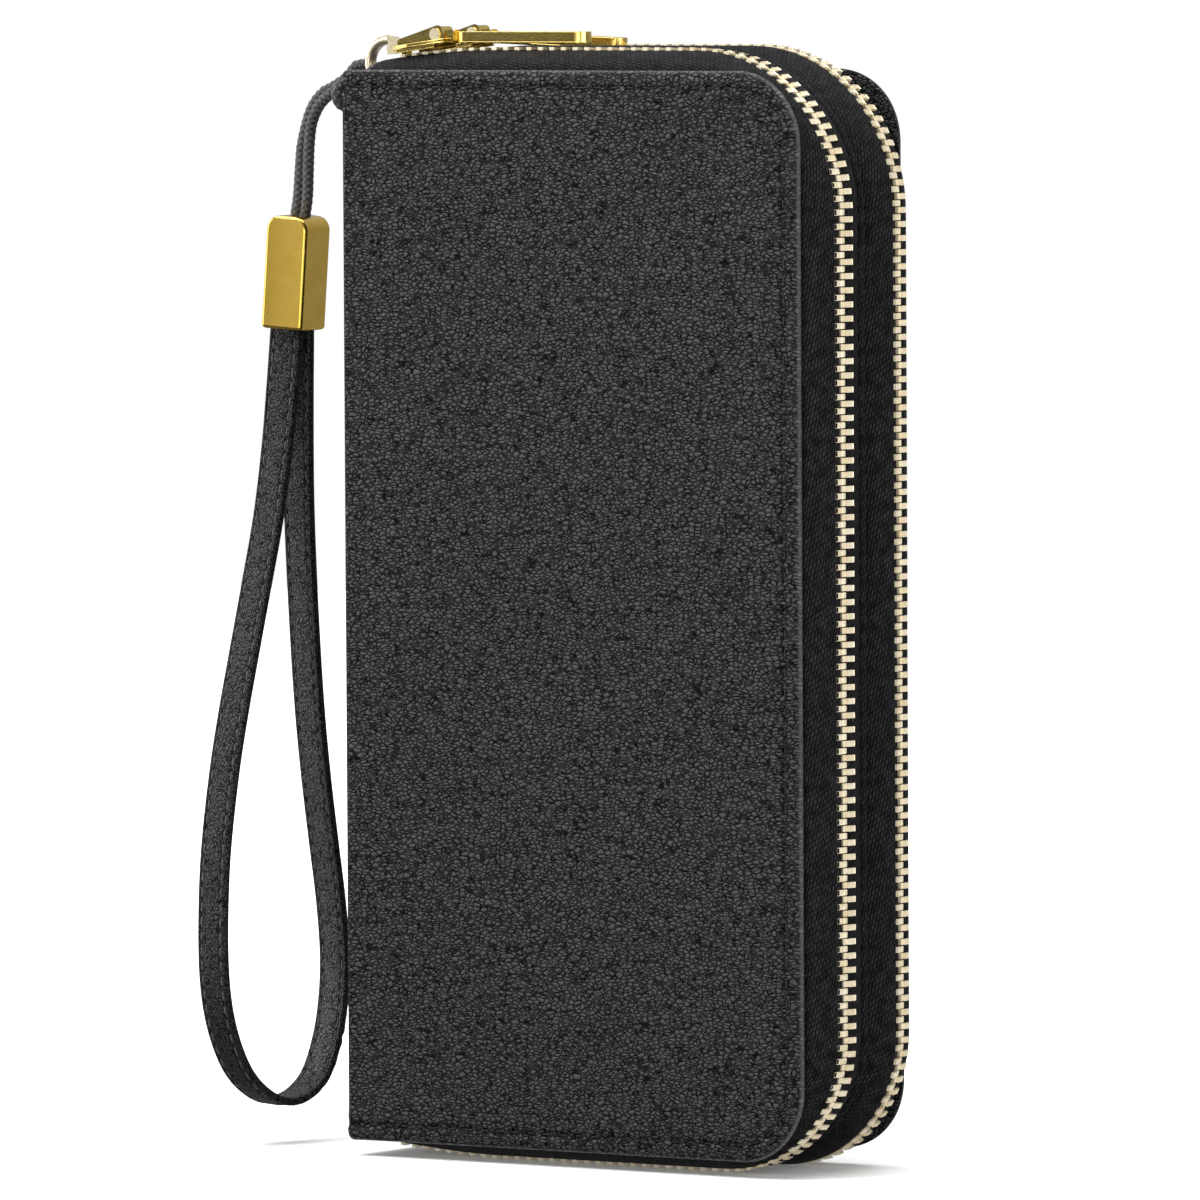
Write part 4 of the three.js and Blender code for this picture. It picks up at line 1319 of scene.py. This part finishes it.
for side, word in ((-1, "front"), (1, "back")):
    build_leather(side, word)
for index, (side, leaf) in enumerate(((-1, "front_leaf"), (1, "back_leaf"))):
    build_zip(index, side, leaf)
build_divider_edge()
build_ring()
build_tab()
cords = build_cords()
bead = build_bead()
strap, strap_mid, strap_length = build_strap()
build_strap_stitches()
for node in frame["nodes"].values():
    dress_inside(node)


# ---------------------------------------------------------------- camera
CAMERA_TURN = math.radians(34.06)
CAMERA_TILT = math.radians(3.05)
CAMERA_ROLL = math.radians(-0.304)
CAMERA_AWAY = 2.4067
CAMERA_LENS = 397.16
AIM_HEIGHT = 102.489
AIM_RIGHT = -6.334


def build_camera():
    level, rise = math.cos(CAMERA_TILT), math.sin(CAMERA_TILT)
    back = Vector((math.sin(CAMERA_TURN) * level, -math.cos(CAMERA_TURN) * level, rise))
    right = Vector((math.cos(CAMERA_TURN), math.sin(CAMERA_TURN), 0))
    up = back.cross(right)
    cos, sin = math.cos(CAMERA_ROLL), math.sin(CAMERA_ROLL)
    target = Vector((SHIFT, 0, AIM_HEIGHT)) * MM + right * (AIM_RIGHT * MM)
    data = bpy.data.cameras.new("camera")
    data.lens = CAMERA_LENS
    data.sensor_width = 36
    data.clip_start, data.clip_end = 0.1, 100
    made = linked("camera", data)
    basis = Matrix((right * cos + up * sin, up * cos - right * sin, back)).transposed().to_4x4()
    made.matrix_world = Matrix.Translation(target + back * CAMERA_AWAY) @ basis
    bpy.context.scene.camera = made


build_camera()


# ---------------------------------------------------------------- floor and light
FLOOR_HALF = 1.6


def build_floor():
    """A plain pale floor with a painted glow that grows away from the wallet and whitens it there."""
    mesh = bpy.data.meshes.new("floor")
    corners = [(-1, -1), (1, -1), (1, 1), (-1, 1)]
    mesh.from_pydata([(x * FLOOR_HALF, y * FLOOR_HALF, 0) for x, y in corners], [], [(0, 1, 2, 3)])
    s = Shader("pale_floor")
    grain = s.noise(s.place(), 0.02, 3.0)
    colour = s.mix(grain, rgb(244, 244, 244), rgb(250, 250, 250))
    # Painted light: the floor glows, faintly near the wallet and strongly far from it.
    s.bsdf.inputs["Emission Color"].default_value = (1, 1, 1, 1)
    far = s.vmath("LENGTH", s.place())
    s.put(s.bsdf, "Emission Strength", s.remap(far, 180.0, 800.0, 0.1, 0.9, True))
    mesh.materials.append(s.done(colour, 0.9, s.bump(grain, 0.02, 0.05), Specular_IOR_Level=0.0))
    made = linked("floor", mesh)
    made.visible_glossy = False


def softbox(name, place, aim, width, height, radiance):
    """A soft rectangular light of even radiance, facing a point."""
    data = bpy.data.lights.new(name, "AREA")
    data.shape = "RECTANGLE"
    data.size, data.size_y = width, height
    data.energy = radiance * width * height * math.pi
    direction = Vector(aim) - Vector(place)
    turned = direction.to_track_quat("-Z", "Y").to_matrix().to_4x4()
    linked(name, data).matrix_world = Matrix.Translation(place) @ turned


def build_sky():
    """A white backdrop, and a dim studio round it that only the object sees."""
    made = bpy.data.worlds.new("studio")
    made.use_nodes = True
    tree = made.node_tree
    tree.nodes.clear()

    def node(kind, *links):
        """A new node whose first inputs are linked to the sockets given."""
        made_node = tree.nodes.new(kind)
        for k, socket in enumerate(links):
            tree.links.new(socket, made_node.inputs[k])
        return made_node

    def ramp(socket, *limits):
        made_node = node("ShaderNodeMapRange", socket)
        for k, value in enumerate(limits):
            made_node.inputs[k + 1].default_value = value
        return made_node.outputs[0]

    split = node("ShaderNodeSeparateXYZ", node("ShaderNodeTexCoord").outputs["Generated"])
    sideways = ramp(split.outputs[1], -0.3, 0.8, 0.13, 0.34)
    upwards = ramp(split.outputs[2], 0.15, 1.0, 0.0, 0.35)
    dim, white = node("ShaderNodeBackground"), node("ShaderNodeBackground")
    for background in (dim, white):
        background.inputs["Color"].default_value = (1, 1, 1, 1)
    tree.links.new(node("ShaderNodeMath", sideways, upwards).outputs[0], dim.inputs["Strength"])
    seen = node("ShaderNodeLightPath").outputs["Is Camera Ray"]
    mix = node("ShaderNodeMixShader", seen, dim.outputs[0], white.outputs[0])
    node("ShaderNodeOutputWorld", mix.outputs[0])
    bpy.context.scene.world = made


# Each light: place and aim in metres, width, height, radiance.
MIDDLE = (0.0, 0.0, 0.1)
BEAD_SIDE = (-0.07, 0.0, 0.12)
LIGHTS = {
    "top_light": ((0.1, 0.1, 1.5), MIDDLE, 1.6, 1.6, 3.1),
    "key_light": ((-0.35, -0.6, 0.95), MIDDLE, 0.6, 0.6, 8.0),
    "right_light": ((1.05, -0.35, 0.42), (-0.07, 0.0, 0.15), 0.45, 0.75, 3.0),
    "front_light": ((-0.487, -1.205, 0.25), MIDDLE, 0.32, 0.9, 0.75),
    "low_strip": ((1.15, -0.55, 0.12), BEAD_SIDE, 1.3, 0.34, 2.2),
    "camera_strip": ((0.222, -1.267, 0.12), BEAD_SIDE, 0.8, 0.34, 2.6),
    "left_light": ((-1.135, -0.39, 0.35), MIDDLE, 1.3, 0.9, 2.1),
}

build_floor()
build_sky()
for name, light in LIGHTS.items():
    softbox(name, *light)
view = bpy.context.scene.view_settings
view.view_transform = "Standard"
view.look = "None"
bpy.context.scene.render.film_transparent = False
